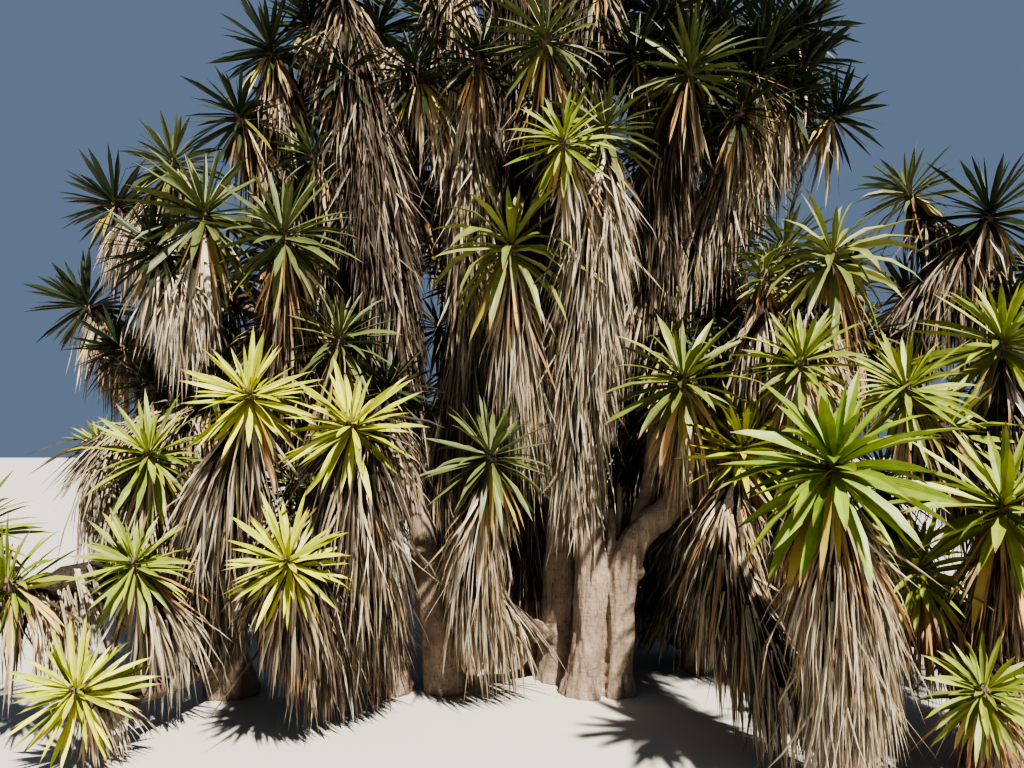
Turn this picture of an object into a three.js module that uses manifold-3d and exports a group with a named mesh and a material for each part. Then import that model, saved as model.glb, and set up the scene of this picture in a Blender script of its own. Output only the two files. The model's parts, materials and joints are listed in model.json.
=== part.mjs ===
// A spineless yucca: an old clump of many stems from one root, taller than a house's first floor.
// Bare grey trunks stand close together and fork into boughs. Each bough ends in a mass of
// foliage: a leafy stem that carries one or more heads of stiff sword leaves, with a skirt of
// dead leaves hanging round the stem below them.
//
// Units are millimetres. +Z is up, +X runs to the right of the side the clump is seen from, and
// +Y runs away from it. The origin is at the foot of the main trunk, on level ground.
import * as THREE from "three";
import Module from "manifold-3d";
import { mergeVertices } from "three/addons/utils/BufferGeometryUtils.js";

const wasm = await Module();
wasm.setup();
const { Manifold } = wasm;

// Driving dimensions
const LEAF_LENGTH = 540; // a full-grown green leaf
const LEAF_WIDTH = 0.3; // share of its length: each leaf here stands for a spray of slimmer ones
const LEAF_THICKNESS = 0.04; // share of its length, from the keel to the edges
const LEAF_WIDEST = 0.42; // where along its length a leaf is widest
const LEAVES_ON_A_HEAD = 7;
const LEAF_TWIST = 0.5; // how far a leaf's face turns out of true, at most
const LEAF_SPREAD = 125; // degrees from the middle of a head to its lowest leaves
const LEAF_SIZES = [1, 0.8, 0.6]; // tried in turn where a leaf would touch something
const NECK = 170; // length of stem that a head's leaves spring from
const STEM_TOP_RADIUS = 42;
const STEM_RADIUS = 75; // of a mass's stem where it starts, at most
const STEM_SHARE = 0.85; // of the limb's own radius, where that is less
const BRANCH_RADII = [65, 110, 150, STEM_TOP_RADIUS]; // a branch swells with dead leaves below its head
const BRANCH_SAG = 60; // how far a branch hangs below the straight line
const BRANCH_RISE = 0.7; // rise of a branch for each unit of its sideways reach
const BRANCH_FORK = [0.3, 0.9]; // shares of the stem between which a branch may leave it
const SKIRT_TEETH = 3; // pairs of long and short points round a skirt's hem
const SKIRT_TOOTH = 170; // how far the long points hang below the short ones
const SKIRT_SWELL = [0.6, 0.9, 1, 0.5]; // share of the skirt's radius, from the hem to the head
const SKIRT_DROOP = 1.4; // how far a skirt hangs out below a level stem, in radii
const SKIRT_LOWEST = 0.06; // share of the stem that a skirt always leaves bare
const FLARE_HEIGHT = 190; // height over which a root flare dies away
const FLARE = 0.42; // how much wider a trunk is at the ground, as a share of its radius
const FLARE_LOBES = 3; // roots that the flare bulges over
const LOBE = 0.3; // how much of the flare comes and goes between them
const TRUNK_FACETS = { sides: 8, steps: 5 };
const BOUGH_FACETS = { sides: 6, steps: 3 };
const STEM_FACETS = { sides: 4, steps: 4 };
const CLEARANCE = 0.3; // gap between two solids that meet
const SLACK = CLEARANCE / 5; // detail finer than this is dropped
const OVERLAP = 20; // how far a bough that carries on from a limb's tip starts inside it
const LEAF_CLEARANCE = 2; // gap that a leaf keeps from its neighbours
const GROUND_CLEARANCE = 15;
const SEED = 7;

// The limbs. A trunk has a foot on the ground, and a bough starts on another limb, at a share of
// that limb's length. Each then runs through the points given, tapering from one radius to the other.
const TRUNKS = {
  trunk_middle: {
    foot: [-300, 400], through: [[-290, 360, 700], [-300, 320, 1500]],
    radii: [165, 120],
  },
  trunk_back: {
    foot: [-560, 710], through: [[-560, 680, 700], [-540, 600, 1500]],
    radii: [135, 105],
  },
  trunk_left: {
    foot: [-1230, 80], through: [[-1330, 0, 650], [-1420, -40, 1300]],
    radii: [130, 110],
  },
  trunk_leaning: {
    foot: [-1150, 500], through: [[-1270, 450, 800], [-1310, 400, 1650]],
    radii: [130, 110],
  },
  trunk_low_left: {
    foot: [-1680, 80], through: [[-1770, 0, 500], [-1880, -100, 950]],
    radii: [150, 120],
  },
  trunk_far_left: {
    foot: [-2900, 0], through: [[-2920, -80, 400], [-2980, -150, 850]],
    radii: [145, 120],
  },
  trunk_right: {
    foot: [920, 620], through: [[950, 600, 600], [1010, 550, 1250]],
    radii: [130, 110],
  },
  trunk_front_right: {
    foot: [1200, -1750], through: [[1170, -1820, 200], [1130, -1880, 400]],
    radii: [140, 110],
  },
  trunk_far_right: {
    foot: [2300, -1350], through: [[2310, -1370, 220], [2320, -1400, 450]],
    radii: [145, 115],
  },
};
// The main trunk is two stems grown together from one foot.
const MAIN_STEMS = {
  left: {
    foot: [-130, 0], through: [[-65, 0, 650], [-100, -10, 1200], [-190, -30, 1600]],
    radii: [140, 115],
  },
  right: {
    foot: [100, 20], through: [[140, 10, 600], [190, 0, 950], [280, -20, 1220]],
    radii: [125, 120],
  },
};
const BOUGHS = {
  bough_right_arm: {
    from: "right", at: 1, through: [[440, -50, 1370], [640, -120, 1550]],
    radii: [115, 95],
  },
  bough_left_column: {
    from: "trunk_left", at: 1, through: [[-1560, -10, 1800], [-1570, 0, 2350]],
    radii: [108, 90],
  },
  bough_upper_left: {
    from: "bough_left_column", at: 0.7, through: [[-1850, 300, 2900], [-2400, 250, 3700]],
    radii: [80, 65],
  },
  bough_west: {
    from: "trunk_far_left", at: 1, through: [[-3050, 50, 1800], [-3150, 150, 2900]],
    radii: [115, 80],
  },
  bough_left_middle: {
    from: "trunk_low_left", at: 1, through: [[-2100, -150, 1700], [-2250, -250, 2500]],
    radii: [115, 85],
  },
  bough_pale: {
    from: "trunk_leaning", at: 1, through: [[-1200, 350, 2250], [-1080, 300, 2800]],
    radii: [105, 90],
  },
  bough_centre_high: {
    from: "trunk_middle", at: 1, through: [[-430, 320, 2300], [-380, 250, 3300]],
    radii: [110, 90],
  },
  bough_right_high: {
    from: "trunk_middle", at: 0.85, through: [[-50, 420, 2300], [500, 350, 3350]],
    radii: [100, 80],
  },
  bough_back_high: {
    from: "trunk_back", at: 1, through: [[-750, 850, 2700], [-700, 850, 4200]],
    radii: [100, 75],
  },
  bough_back_low: {
    from: "trunk_back", at: 0.6, through: [[-900, 1300, 1400], [-1150, 1800, 1750]],
    radii: [85, 65],
  },
  bough_back_left: {
    from: "trunk_leaning", at: 0.8, through: [[-1700, 900, 1900], [-2200, 1300, 2500]],
    radii: [85, 65],
  },
  bough_back_right: {
    from: "trunk_right", at: 0.9, through: [[1100, 1100, 2000], [1250, 1500, 2700]],
    radii: [90, 70],
  },
  bough_right_up: {
    from: "trunk_right", at: 1, through: [[1200, 450, 1800], [1350, 350, 2300]],
    radii: [105, 85],
  },
  bough_far_right: {
    from: "trunk_right", at: 0.75, through: [[1600, 650, 1900], [2200, 450, 2500]],
    radii: [85, 65],
  },
};

// The masses of foliage. Each stem starts on a limb and runs by way of a point to its first head;
// every further head stands on a branch of that stem. A head is [x, y, z], the way it leans in X and
// Y for each unit of rise, and its leaf length as a share of the full length. A skirt is its length
// down the stem and its radius.
const MASSES = {
  heads_west_low: {
    from: "bough_west", at: 0.6, by: [-3700, 400, 2600], skirt: [1100, 240],
    heads: [[-4650, 900, 3250, -0.9, 0.3, 0.95], [-4050, 300, 2800, -0.9, -0.3, 0.85]],
  },
  heads_west_high: {
    from: "bough_west", at: 1, by: [-3600, 250, 3600], skirt: [1300, 250],
    heads: [[-4300, 700, 4150, -0.6, 0.2, 0.95], [-3600, 300, 4400, -0.2, -0.1, 0.9]],
  },
  head_pale_skirt: {
    from: "bough_west", at: 0.75, by: [-3170, -350, 2950], skirt: [1100, 270],
    heads: [[-3000, -500, 3750, 0.05, -0.3, 0.9]],
  },
  head_shaded: {
    from: "bough_left_middle", at: 1, by: [-2350, -450, 2950], skirt: [950, 220],
    heads: [[-2350, -700, 3550, 0, -0.35, 0.95]],
  },
  heads_upper_left: {
    from: "bough_upper_left", at: 1, by: [-2650, 250, 4300], skirt: [1500, 250],
    heads: [[-2750, 200, 5350, -0.2, 0, 0.95], [-2950, 0, 4700, -0.3, -0.2, 0.9]],
  },
  heads_left_column: {
    from: "bough_left_column", at: 1, by: [-1750, 0, 3600], skirt: [3600, 340],
    heads: [[-2150, 150, 5900, -0.1, 0, 0.95], [-2350, -50, 4350, -0.5, -0.4, 0.75]],
  },
  head_left_inner: {
    from: "bough_left_middle", at: 0.6, by: [-2050, -450, 2200], skirt: [900, 200],
    heads: [[-1950, -600, 2800, 0.1, -0.2, 0.85]],
  },
  heads_left_bright: {
    from: "trunk_far_left", at: 0.95, by: [-2800, -700, 1500], skirt: [2200, 300],
    heads: [[-2450, -1100, 2350, 0.1, -0.9, 0.88], [-2650, -700, 1600, 0.2, -0.3, 0.6]],
  },
  head_centre_left: {
    from: "trunk_low_left", at: 0.35, by: [-1700, -850, 1150], skirt: [1900, 320],
    heads: [[-1750, -1200, 2150, 0, -0.8, 0.92]],
  },
  heads_left_edge: {
    from: "trunk_far_left", at: 1, by: [-3250, -500, 1350], skirt: [1800, 300],
    heads: [[-3200, -900, 1950, 0.1, -0.7, 0.82], [-3750, -500, 2000, -0.3, -0.3, 0.5]],
  },
  head_left_low: {
    from: "trunk_far_left", at: 0.7, by: [-3100, -850, 800], skirt: [950, 280],
    heads: [[-3150, -1200, 1250, 0, -0.8, 0.78]],
  },
  head_front_low: {
    from: "trunk_low_left", at: 0.25, by: [-2000, -900, 700], skirt: [1150, 320],
    heads: [[-2100, -1400, 1300, 0, -0.9, 0.83]],
  },
  head_ground_left: {
    from: "trunk_far_left", at: 0.35, by: [-3150, -1050, 330], skirt: [700, 200],
    heads: [[-3300, -1600, 560, -0.1, -1.1, 0.86]],
  },
  head_left_outer: {
    from: "trunk_far_left", at: 0.85, by: [-3550, -800, 1050], skirt: [900, 260],
    heads: [[-3950, -1300, 1150, -0.9, -0.7, 0.8]],
  },
  head_front_centre: {
    from: "trunk_middle", at: 0.2, by: [-950, -450, 900], skirt: [1750, 240],
    heads: [[-850, -700, 1950, 0.05, -0.3, 0.86]],
  },
  head_drooping: {
    from: "bough_centre_high", at: 0.1, by: [-620, -250, 2450], skirt: [1900, 220],
    heads: [[-700, -500, 3500, 0.05, -0.1, 0.95]],
  },
  heads_centre_column: {
    from: "left", at: 1, by: [-160, -250, 2700], skirt: [3100, 320],
    heads: [[0, -600, 4350, 0.1, -0.1, 0.9], [-350, -900, 4150, -0.3, -0.8, 0.8]],
  },
  heads_centre_top: {
    from: "bough_centre_high", at: 1, by: [-300, 100, 4200], skirt: [2400, 270],
    heads: [[50, 200, 6100, 0.1, 0, 0.95], [-450, -500, 5100, -0.1, -0.4, 1.05]],
  },
  heads_pale_column: {
    from: "bough_pale", at: 1, by: [-1050, 200, 3900], skirt: [3300, 280],
    heads: [
      [-1300, 300, 6250, -0.1, 0, 0.95],
      [-950, -200, 5100, 0.1, -0.3, 0.9],
      [-1500, 0, 5050, -0.3, -0.2, 0.9],
    ],
  },
  heads_right_crown: {
    from: "bough_right_high", at: 1, by: [550, 200, 4100], skirt: [2600, 280],
    heads: [
      [600, 350, 5700, 0, 0, 0.95],
      [700, -300, 4950, 0.1, -0.3, 1.05],
      [1000, 600, 6250, 0.2, 0.2, 0.95],
    ],
  },
  heads_east_crown: {
    from: "bough_right_high", at: 0.85, by: [950, 500, 3800], skirt: [2400, 290],
    heads: [
      [1950, 500, 5350, 0.9, -0.1, 0.95],
      [1350, 100, 5100, 0.3, -0.2, 0.9],
      [1550, 900, 4650, 0.7, 0.4, 0.9],
    ],
  },
  heads_summit: {
    from: "bough_back_high", at: 1, by: [-700, 750, 5100], skirt: [2500, 270],
    heads: [[-600, 500, 6850, 0, -0.1, 0.98], [-250, 1300, 6150, 0.2, 0.5, 0.95]],
  },
  heads_right_arm: {
    from: "bough_right_arm", at: 1, by: [640, -250, 1950], skirt: [750, 250],
    heads: [[550, -600, 2500, 0, -0.3, 0.95], [650, 400, 2950, 0.1, 0.3, 0.88]],
  },
  head_right_leaning: {
    from: "trunk_front_right", at: 0.3, by: [750, -950, 1150], skirt: [2000, 270],
    heads: [[950, -700, 2000, 0.1, -0.3, 0.8]],
  },
  head_right_front: {
    from: "trunk_front_right", at: 1, by: [1120, -1980, 1100], skirt: [1850, 320],
    heads: [[1030, -2100, 1950, 0, -0.15, 1.15]],
  },
  heads_right_upper: {
    from: "bough_right_up", at: 1, by: [1500, 0, 2750], skirt: [1900, 320],
    heads: [[1650, -600, 3400, 0, -0.2, 1.05], [1600, 300, 3650, -0.1, 0.2, 0.85]],
  },
  heads_far_right: {
    from: "bough_far_right", at: 1, by: [2700, 300, 3050], skirt: [1600, 270],
    heads: [[3300, 200, 3950, 0.1, -0.1, 1.15], [4000, 350, 3500, 0.8, 0.1, 1]],
  },
  heads_right_edge: {
    from: "trunk_far_right", at: 1, by: [2230, -1600, 1100], skirt: [1500, 300],
    heads: [[2150, -1750, 1700, 0, -0.2, 1.1], [1850, -2000, 700, -0.3, -0.7, 0.65]],
  },
  heads_right_bright: {
    from: "trunk_far_right", at: 0.9, by: [2650, -1050, 1700], skirt: [2200, 290],
    heads: [[2700, -900, 2750, 0, -0.2, 1.05], [3300, -800, 2150, 0.6, -0.1, 0.95]],
  },
  heads_behind_right: {
    from: "bough_back_right", at: 0.5, by: [1120, 950, 2500], skirt: [1600, 250],
    heads: [[1150, 900, 3300, 0, -0.1, 0.9], [700, 2150, 2550, -0.3, 0.8, 0.9]],
  },
  heads_back_left: {
    from: "bough_back_left", at: 1, by: [-2450, 1600, 3000], skirt: [1800, 260],
    heads: [[-2500, 2000, 3700, -0.1, 0.3, 1], [-3450, 1750, 2500, -0.8, 0.3, 0.95]],
  },
  heads_back_high: {
    from: "bough_back_high", at: 0.55, by: [-1000, 1500, 3700], skirt: [1900, 260],
    heads: [[-1150, 2250, 4500, -0.1, 0.5, 1], [-2000, 1900, 4950, -0.4, 0.3, 0.85]],
  },
  heads_back_centre: {
    from: "bough_back_high", at: 0.3, by: [-250, 1500, 3500], skirt: [2200, 250],
    heads: [[200, 2300, 4800, 0.1, 0.5, 1], [-350, 2250, 3250, -0.1, 0.8, 0.95]],
  },
  heads_back_right: {
    from: "bough_back_right", at: 1, by: [1450, 1750, 3300], skirt: [2000, 270],
    heads: [[1600, 2150, 4300, 0.1, 0.4, 1], [2550, 1750, 3250, 0.8, 0.3, 0.95]],
  },
  heads_back_low: {
    from: "bough_back_low", at: 1, by: [-1300, 2050, 2050], skirt: [1400, 240],
    heads: [[-1850, 2650, 2400, -0.3, 0.6, 0.95], [-1100, 2300, 2750, 0.1, 0.4, 0.85]],
  },
};

// A small random number generator, so that every run gives the same plant.
function seeded(seed) {
  let state = seed >>> 0;
  return () => {
    state = (state + 0x6d2b79f5) >>> 0;
    let t = state;
    t = Math.imul(t ^ (t >>> 15), t | 1);
    t ^= t + Math.imul(t ^ (t >>> 7), t | 61);
    return ((t ^ (t >>> 14)) >>> 0) / 4294967296;
  };
}

const point = (xyz) => new THREE.Vector3(...xyz);
const lerp = THREE.MathUtils.lerp;

// A closed three.js geometry as a solid that can be joined and cut.
function solidOf(geometry) {
  const bare = geometry.clone();
  bare.deleteAttribute("normal");
  bare.deleteAttribute("uv");
  const merged = mergeVertices(bare, 1e-2);
  return new Manifold(
    new wasm.Mesh({
      numProp: 3,
      vertProperties: merged.attributes.position.array,
      triVerts: new Uint32Array(merged.index.array),
    }),
  );
}

// The reverse: a solid as a geometry, measured from the place its mesh will stand at.
function geometryOf(solid, place) {
  const mesh = solid.getMesh();
  const geometry = new THREE.BufferGeometry();
  geometry.setAttribute("position", new THREE.BufferAttribute(mesh.vertProperties, 3));
  geometry.setIndex(new THREE.BufferAttribute(mesh.triVerts, 1));
  geometry.translate(-place.x, -place.y, -place.z);
  geometry.computeVertexNormals();
  return geometry;
}

// Two directions square to a path, which turn with it and never twist round it.
function across(path, along) {
  const chord = path.getPoint(1).sub(path.getPoint(0));
  const reference = Math.abs(chord.x) < Math.hypot(chord.y, chord.z) ? point([1, 0, 0]) : point([0, 1, 0]);
  const first = reference.addScaledVector(along, -reference.dot(along)).normalize();
  return [first, new THREE.Vector3().crossVectors(first, along)];
}

// Bends a unit cylinder along a path. radiusAt gives the radius at a share of the length and an angle.
function sweep(path, { sides, steps }, radiusAt, { foot = false, grow = 0 } = {}) {
  const geometry = new THREE.CylinderGeometry(1, 1, 1, sides, steps);
  const position = geometry.attributes.position;
  for (let i = 0; i < position.count; i++) {
    const share = position.getY(i) + 0.5;
    const [u, v] = [position.getX(i), position.getZ(i)];
    const along = path.getTangentAt(share);
    if (foot) along.lerp(point([0, 0, 1]), Math.exp((-share * path.getLength()) / FLARE_HEIGHT)).normalize();
    const [first, second] = across(path, along);
    const radius = radiusAt(share, Math.atan2(v, u)) + grow;
    const end = share === 1 ? grow : share === 0 ? -grow : 0;
    const at = path.getPointAt(share).addScaledVector(along, end);
    at.addScaledVector(first, u * radius).addScaledVector(second, v * radius);
    position.setXYZ(i, at.x, at.y, at.z);
  }
  return solidOf(geometry);
}

// Trunks and boughs

const limbPaths = {};

// A bough starts inside the limb that bears it, so the cut between them follows that limb's skin.
function limbPath(limb) {
  if (limb.foot) return new THREE.CatmullRomCurve3([point([...limb.foot, 0]), ...limb.through.map(point)]);
  const parent = limbPaths[limb.from];
  const start = parent.getPointAt(limb.at);
  if (limb.at === 1) start.addScaledVector(parent.getTangentAt(1), -OVERLAP);
  return new THREE.CatmullRomCurve3([start, ...limb.through.map(point)]);
}

function limbSolid(path, limb, grow = 0) {
  const [base, tip] = limb.radii;
  const length = path.getLength();
  const radiusAt = (share, angle) => {
    const taper = lerp(base, tip, share);
    if (!limb.foot) return taper;
    const flare = FLARE * Math.exp((-share * length) / FLARE_HEIGHT);
    return taper * (1 + flare * (1 + LOBE * Math.sin(FLARE_LOBES * angle + base)));
  };
  return sweep(path, limb.foot ? TRUNK_FACETS : BOUGH_FACETS, radiusAt, { foot: Boolean(limb.foot), grow });
}

const limbs = []; // { name, group, solid, cutter, place }

function addLimb(name, group, stems) {
  const paths = Object.entries(stems).map(([stem, limb]) => {
    limbPaths[stem] = limbPath(limb);
    return [limbPaths[stem], limb];
  });
  let solid = Manifold.union(paths.map(([path, limb]) => limbSolid(path, limb)));
  for (const other of limbs) solid = solid.subtract(other.cutter);
  const cutter = Manifold.union(paths.map(([path, limb]) => limbSolid(path, limb, CLEARANCE)));
  limbs.push({ name, group, solid: largest(solid), cutter, place: paths[0][0].getPoint(0) });
}

// A cut can leave scraps, and only the largest body is kept.
function largest(solid) {
  const bodies = solid.decompose();
  return bodies.reduce((best, body) => (body.volume() > best.volume() ? body : best));
}

// Masses of foliage

function headAxis([, , , leanX, leanY]) {
  return point([leanX, leanY, 1]).normalize();
}

// The stem of a mass: a list of paths, the first from the limb to the first head, and the rest
// from the first path to the other heads.
function stemPaths(mass) {
  const start = limbPaths[mass.from].getPointAt(mass.at);
  const paths = [];
  mass.heads.forEach((head, i) => {
    const top = point(head.slice(0, 3));
    const neck = top.clone().addScaledVector(headAxis(head), -NECK);
    if (i === 0) {
      paths.push(new THREE.CatmullRomCurve3([start, point(mass.by), neck, top]));
      return;
    }
    const root = paths[0].getPointAt(branchShare(paths[0], neck));
    const bend = root.clone().lerp(neck, 0.6);
    bend.z -= BRANCH_SAG;
    paths.push(new THREE.CatmullRomCurve3([root, bend, neck, top]));
  });
  return paths;
}

// Where a branch leaves the first path: far enough below its own head for the branch's usual slope.
function branchShare(path, neck) {
  const miss = (share) => {
    const at = path.getPointAt(share);
    const reach = Math.hypot(at.x - neck.x, at.y - neck.y);
    return Math.abs(neck.z - at.z - BRANCH_RISE * reach) + reach / 3;
  };
  const tries = 12;
  const shares = Array.from({ length: tries + 1 }, (_, i) => lerp(...BRANCH_FORK, i / tries));
  return shares.reduce((best, share) => (miss(share) < miss(best) ? share : best));
}

function stemSolid(path, base, grow = 0) {
  return sweep(path, STEM_FACETS, (share) => lerp(base, STEM_TOP_RADIUS, share), { grow });
}

function branchSolid(path, grow = 0) {
  const steps = BRANCH_RADII.length - 1;
  const radiusAt = (share) => BRANCH_RADII[Math.round(share * steps)];
  return sweep(path, { sides: STEM_FACETS.sides, steps }, radiusAt, { grow });
}

// The thatch of dead leaves round a stem: a ragged sleeve, solid right through. On a stem that
// leans it hangs out below it.
function skirtSolid(path, [length, radius], grow = 0) {
  const whole = path.getLength();
  const top = 1 - NECK / whole;
  const bottom = Math.max(SKIRT_LOWEST, top - length / whole);
  const geometry = new THREE.CylinderGeometry(1, 1, 1, 2 * SKIRT_TEETH, SKIRT_SWELL.length - 1);
  const position = geometry.attributes.position;
  for (let i = 0; i < position.count; i++) {
    const rise = position.getY(i) + 0.5;
    const [u, v] = [position.getX(i), position.getZ(i)];
    const share = lerp(bottom, top, rise);
    const along = path.getTangentAt(share);
    const [first, second] = across(path, along);
    const swell = SKIRT_SWELL[Math.round(rise * (SKIRT_SWELL.length - 1))];
    const at = path.getPointAt(share).addScaledVector(along, rise === 1 ? grow : rise === 0 ? -grow : 0);
    const out = first.clone().multiplyScalar(u).addScaledVector(second, v);
    const droop = SKIRT_DROOP * radius * swell * (1 - Math.abs(along.z)) * Math.max(0, -out.z);
    at.addScaledVector(out, radius * swell + grow);
    at.z -= droop;
    const tooth = Math.round((Math.atan2(v, u) / Math.PI) * SKIRT_TEETH);
    if (rise === 0 && Math.hypot(u, v) > 0.5 && tooth % 2 === 0) at.z -= SKIRT_TOOTH;
    at.z = Math.max(at.z, GROUND_CLEARANCE - grow);
    position.setXYZ(i, at.x, at.y, at.z);
  }
  return solidOf(geometry);
}

// A sword leaf of six faces: pointed at both ends, with a keel under it, its root sunk in the stem.
function leafSolid(root, direction, length, flatWay, spare = 0) {
  const geometry = new THREE.SphereGeometry(1, 3, 2);
  const side = new THREE.Vector3().crossVectors(direction, flatWay).normalize();
  const up = new THREE.Vector3().crossVectors(direction, side).normalize();
  const halfWidth = (length * LEAF_WIDTH) / 2 + spare;
  const keel = (length * LEAF_THICKNESS) / 2 + spare;
  const position = geometry.attributes.position;
  for (let i = 0; i < position.count; i++) {
    const [x, y, z] = [position.getX(i), position.getY(i), position.getZ(i)];
    const share = y > 0.5 ? 1 : y < -0.5 ? 0 : LEAF_WIDEST;
    const at = root.clone().addScaledVector(direction, share * length + Math.round(y) * spare);
    at.addScaledVector(side, (z / Math.sin(Math.PI / 3)) * halfWidth).addScaledVector(up, x * keel);
    position.setXYZ(i, at.x, at.y, at.z);
  }
  return solidOf(geometry);
}

// The green leaves of a head, spread evenly over the ball round its neck by the golden angle.
function headLeaves(head, random) {
  const axis = headAxis(head);
  const top = point(head.slice(0, 3));
  const golden = Math.PI * (3 - Math.sqrt(5));
  const [first, second] = squareTo(axis);
  const start = random() * 2 * Math.PI;
  const widest = 1 - Math.cos(THREE.MathUtils.degToRad(LEAF_SPREAD));
  return Array.from({ length: LEAVES_ON_A_HEAD }, (_, i) => {
    const tilt = Math.acos(1 - (widest * (i + 0.4)) / LEAVES_ON_A_HEAD);
    const turn = start + i * golden;
    const outward = first.clone().multiplyScalar(Math.cos(turn)).addScaledVector(second, Math.sin(turn));
    const direction = axis.clone().multiplyScalar(Math.cos(tilt)).addScaledVector(outward, Math.sin(tilt));
    const root = top.clone().addScaledVector(axis, -lerp(20, NECK, i / LEAVES_ON_A_HEAD));
    const length = LEAF_LENGTH * head[5] * lerp(0.95, 1.05, random());
    const turned = lerp(-LEAF_TWIST, LEAF_TWIST, random());
    const twist = new THREE.Vector3().crossVectors(direction, axis).multiplyScalar(turned);
    return { root, direction: direction.normalize(), length, flatWay: axis.clone().add(twist) };
  });
}

function squareTo(axis) {
  const reference = Math.abs(axis.x) < 0.9 ? point([1, 0, 0]) : point([0, 1, 0]);
  const first = new THREE.Vector3().crossVectors(axis, reference).normalize();
  return [first, new THREE.Vector3().crossVectors(axis, first)];
}

// The boxes of two solids, grown a little, tell whether they need an exact test.
function near(a, b) {
  const [p, q] = [a.boundingBox(), b.boundingBox()];
  return [0, 1, 2].every((k) => p.min[k] < q.max[k] + 1 && q.min[k] < p.max[k] + 1);
}

function stemRadius(mass) {
  const limb = { ...TRUNKS, ...BOUGHS, ...MAIN_STEMS }[mass.from];
  return Math.min(STEM_RADIUS, limb.radii[1] * STEM_SHARE);
}

// The woody stems of one mass.
function massWood(mass, grow = 0) {
  const [main, ...branches] = mass.paths;
  const stems = [stemSolid(main, stemRadius(mass), grow)];
  return Manifold.union([...stems, ...branches.map((path) => branchSolid(path, grow))]);
}

// Takes every cutter that comes near a solid away from it.
function clearOf(solid, cutters) {
  return cutters.reduce((left, cutter) => (near(left, cutter) ? left.subtract(cutter) : left), solid);
}

// Limbs keep their full shape. Woody stems give way to limbs and to the stems before them, and
// skirts give way to all of these and to the skirts before them.
function buildMasses() {
  const masses = Object.entries(MASSES).map(([name, mass]) => ({ name, ...mass, paths: stemPaths(mass) }));
  const limbCutters = limbs.map((limb) => limb.cutter);
  const stemCutters = [];
  for (const mass of masses) {
    mass.wood = clearOf(massWood(mass), [...limbCutters, ...stemCutters]);
    mass.woodCutter = massWood(mass, CLEARANCE);
    stemCutters.push(mass.woodCutter);
  }
  const skirtCutters = [];
  for (const mass of masses) {
    const otherStems = stemCutters.filter((cutter) => cutter !== mass.woodCutter);
    const inTheWay = [...limbCutters, ...otherStems, ...skirtCutters];
    const skirt = clearOf(skirtSolid(mass.paths[0], mass.skirt), inTheWay);
    skirtCutters.push(skirtSolid(mass.paths[0], mass.skirt, 2 * CLEARANCE));
    mass.body = largest(mass.wood.add(skirt)).simplify(SLACK);
    mass.leaves = [];
  }
  masses.forEach((mass, i) => addLeaves(mass, masses, seeded(SEED + i)));
  return masses;
}

// Adds the leaves that stay clear of every limb, every other mass and the ground. One that would
// touch is tried again at a smaller size, and then left out.
function addLeaves(mass, masses, random) {
  const wanted = mass.heads.flatMap((head) => headLeaves(head, random));
  const others = masses.filter((other) => other !== mass);
  const obstacles = [...limbs.map((limb) => limb.solid), ...others.flatMap((m) => [m.body, ...m.leaves])];
  for (const leaf of wanted) {
    for (const size of LEAF_SIZES) {
      const length = leaf.length * size;
      const trial = leafSolid(leaf.root, leaf.direction, length, leaf.flatWay, LEAF_CLEARANCE);
      const clear =
        trial.boundingBox().min[2] > GROUND_CLEARANCE &&
        obstacles.every((other) => !near(trial, other) || trial.intersect(other).isEmpty());
      if (clear) {
        mass.leaves.push(leafSolid(leaf.root, leaf.direction, length, leaf.flatWay));
        break;
      }
    }
  }
}

// The whole plant

const barkGrey = new THREE.MeshStandardMaterial({ color: 0x8a7566, roughness: 0.9, metalness: 0 });
const leafGreen = new THREE.MeshStandardMaterial({ color: 0x6f8a35, roughness: 0.55, metalness: 0 });

addLimb("trunk_main", "trunks", MAIN_STEMS);
for (const [name, limb] of Object.entries(TRUNKS)) addLimb(name, "trunks", { [name]: limb });
for (const [name, limb] of Object.entries(BOUGHS)) addLimb(name, "boughs", { [name]: limb });

const plant = new THREE.Group();
const groups = {};
for (const kind of ["trunks", "boughs", "foliage"]) {
  groups[kind] = new THREE.Group();
  groups[kind].name = kind;
  plant.add(groups[kind]);
}

function addMesh(kind, name, solid, place, material) {
  const mesh = new THREE.Mesh(geometryOf(solid, place), material);
  mesh.name = name;
  mesh.position.copy(place);
  groups[kind].add(mesh);
}

for (const limb of limbs) addMesh(limb.group, limb.name, limb.solid, limb.place, barkGrey);
for (const mass of buildMasses()) {
  const solid = largest(Manifold.union([mass.body, ...mass.leaves])).simplify(SLACK);
  addMesh("foliage", mass.name, solid, mass.paths[0].getPoint(0), leafGreen);
}

export default plant;
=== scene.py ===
# %% [markdown]
# # A spineless yucca
#
# An old clump of yucca has several grey trunks, which fork into boughs, and every bough ends in a few
# stems. Each stem carries a ball of sword leaves, and below it hangs a long skirt of its dead leaves.
# This lesson grows that plant from a handful of lines: the trunks and boughs are tubes fused into one
# skin of bark, and one green blade and one dry blade are modelled and then set out many thousand times.

# %% Tools, and the model that gives the plant its places and its size
import contextlib
import json
import math

import bmesh
import bpy
import numpy as np
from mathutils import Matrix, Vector, noise

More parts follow.
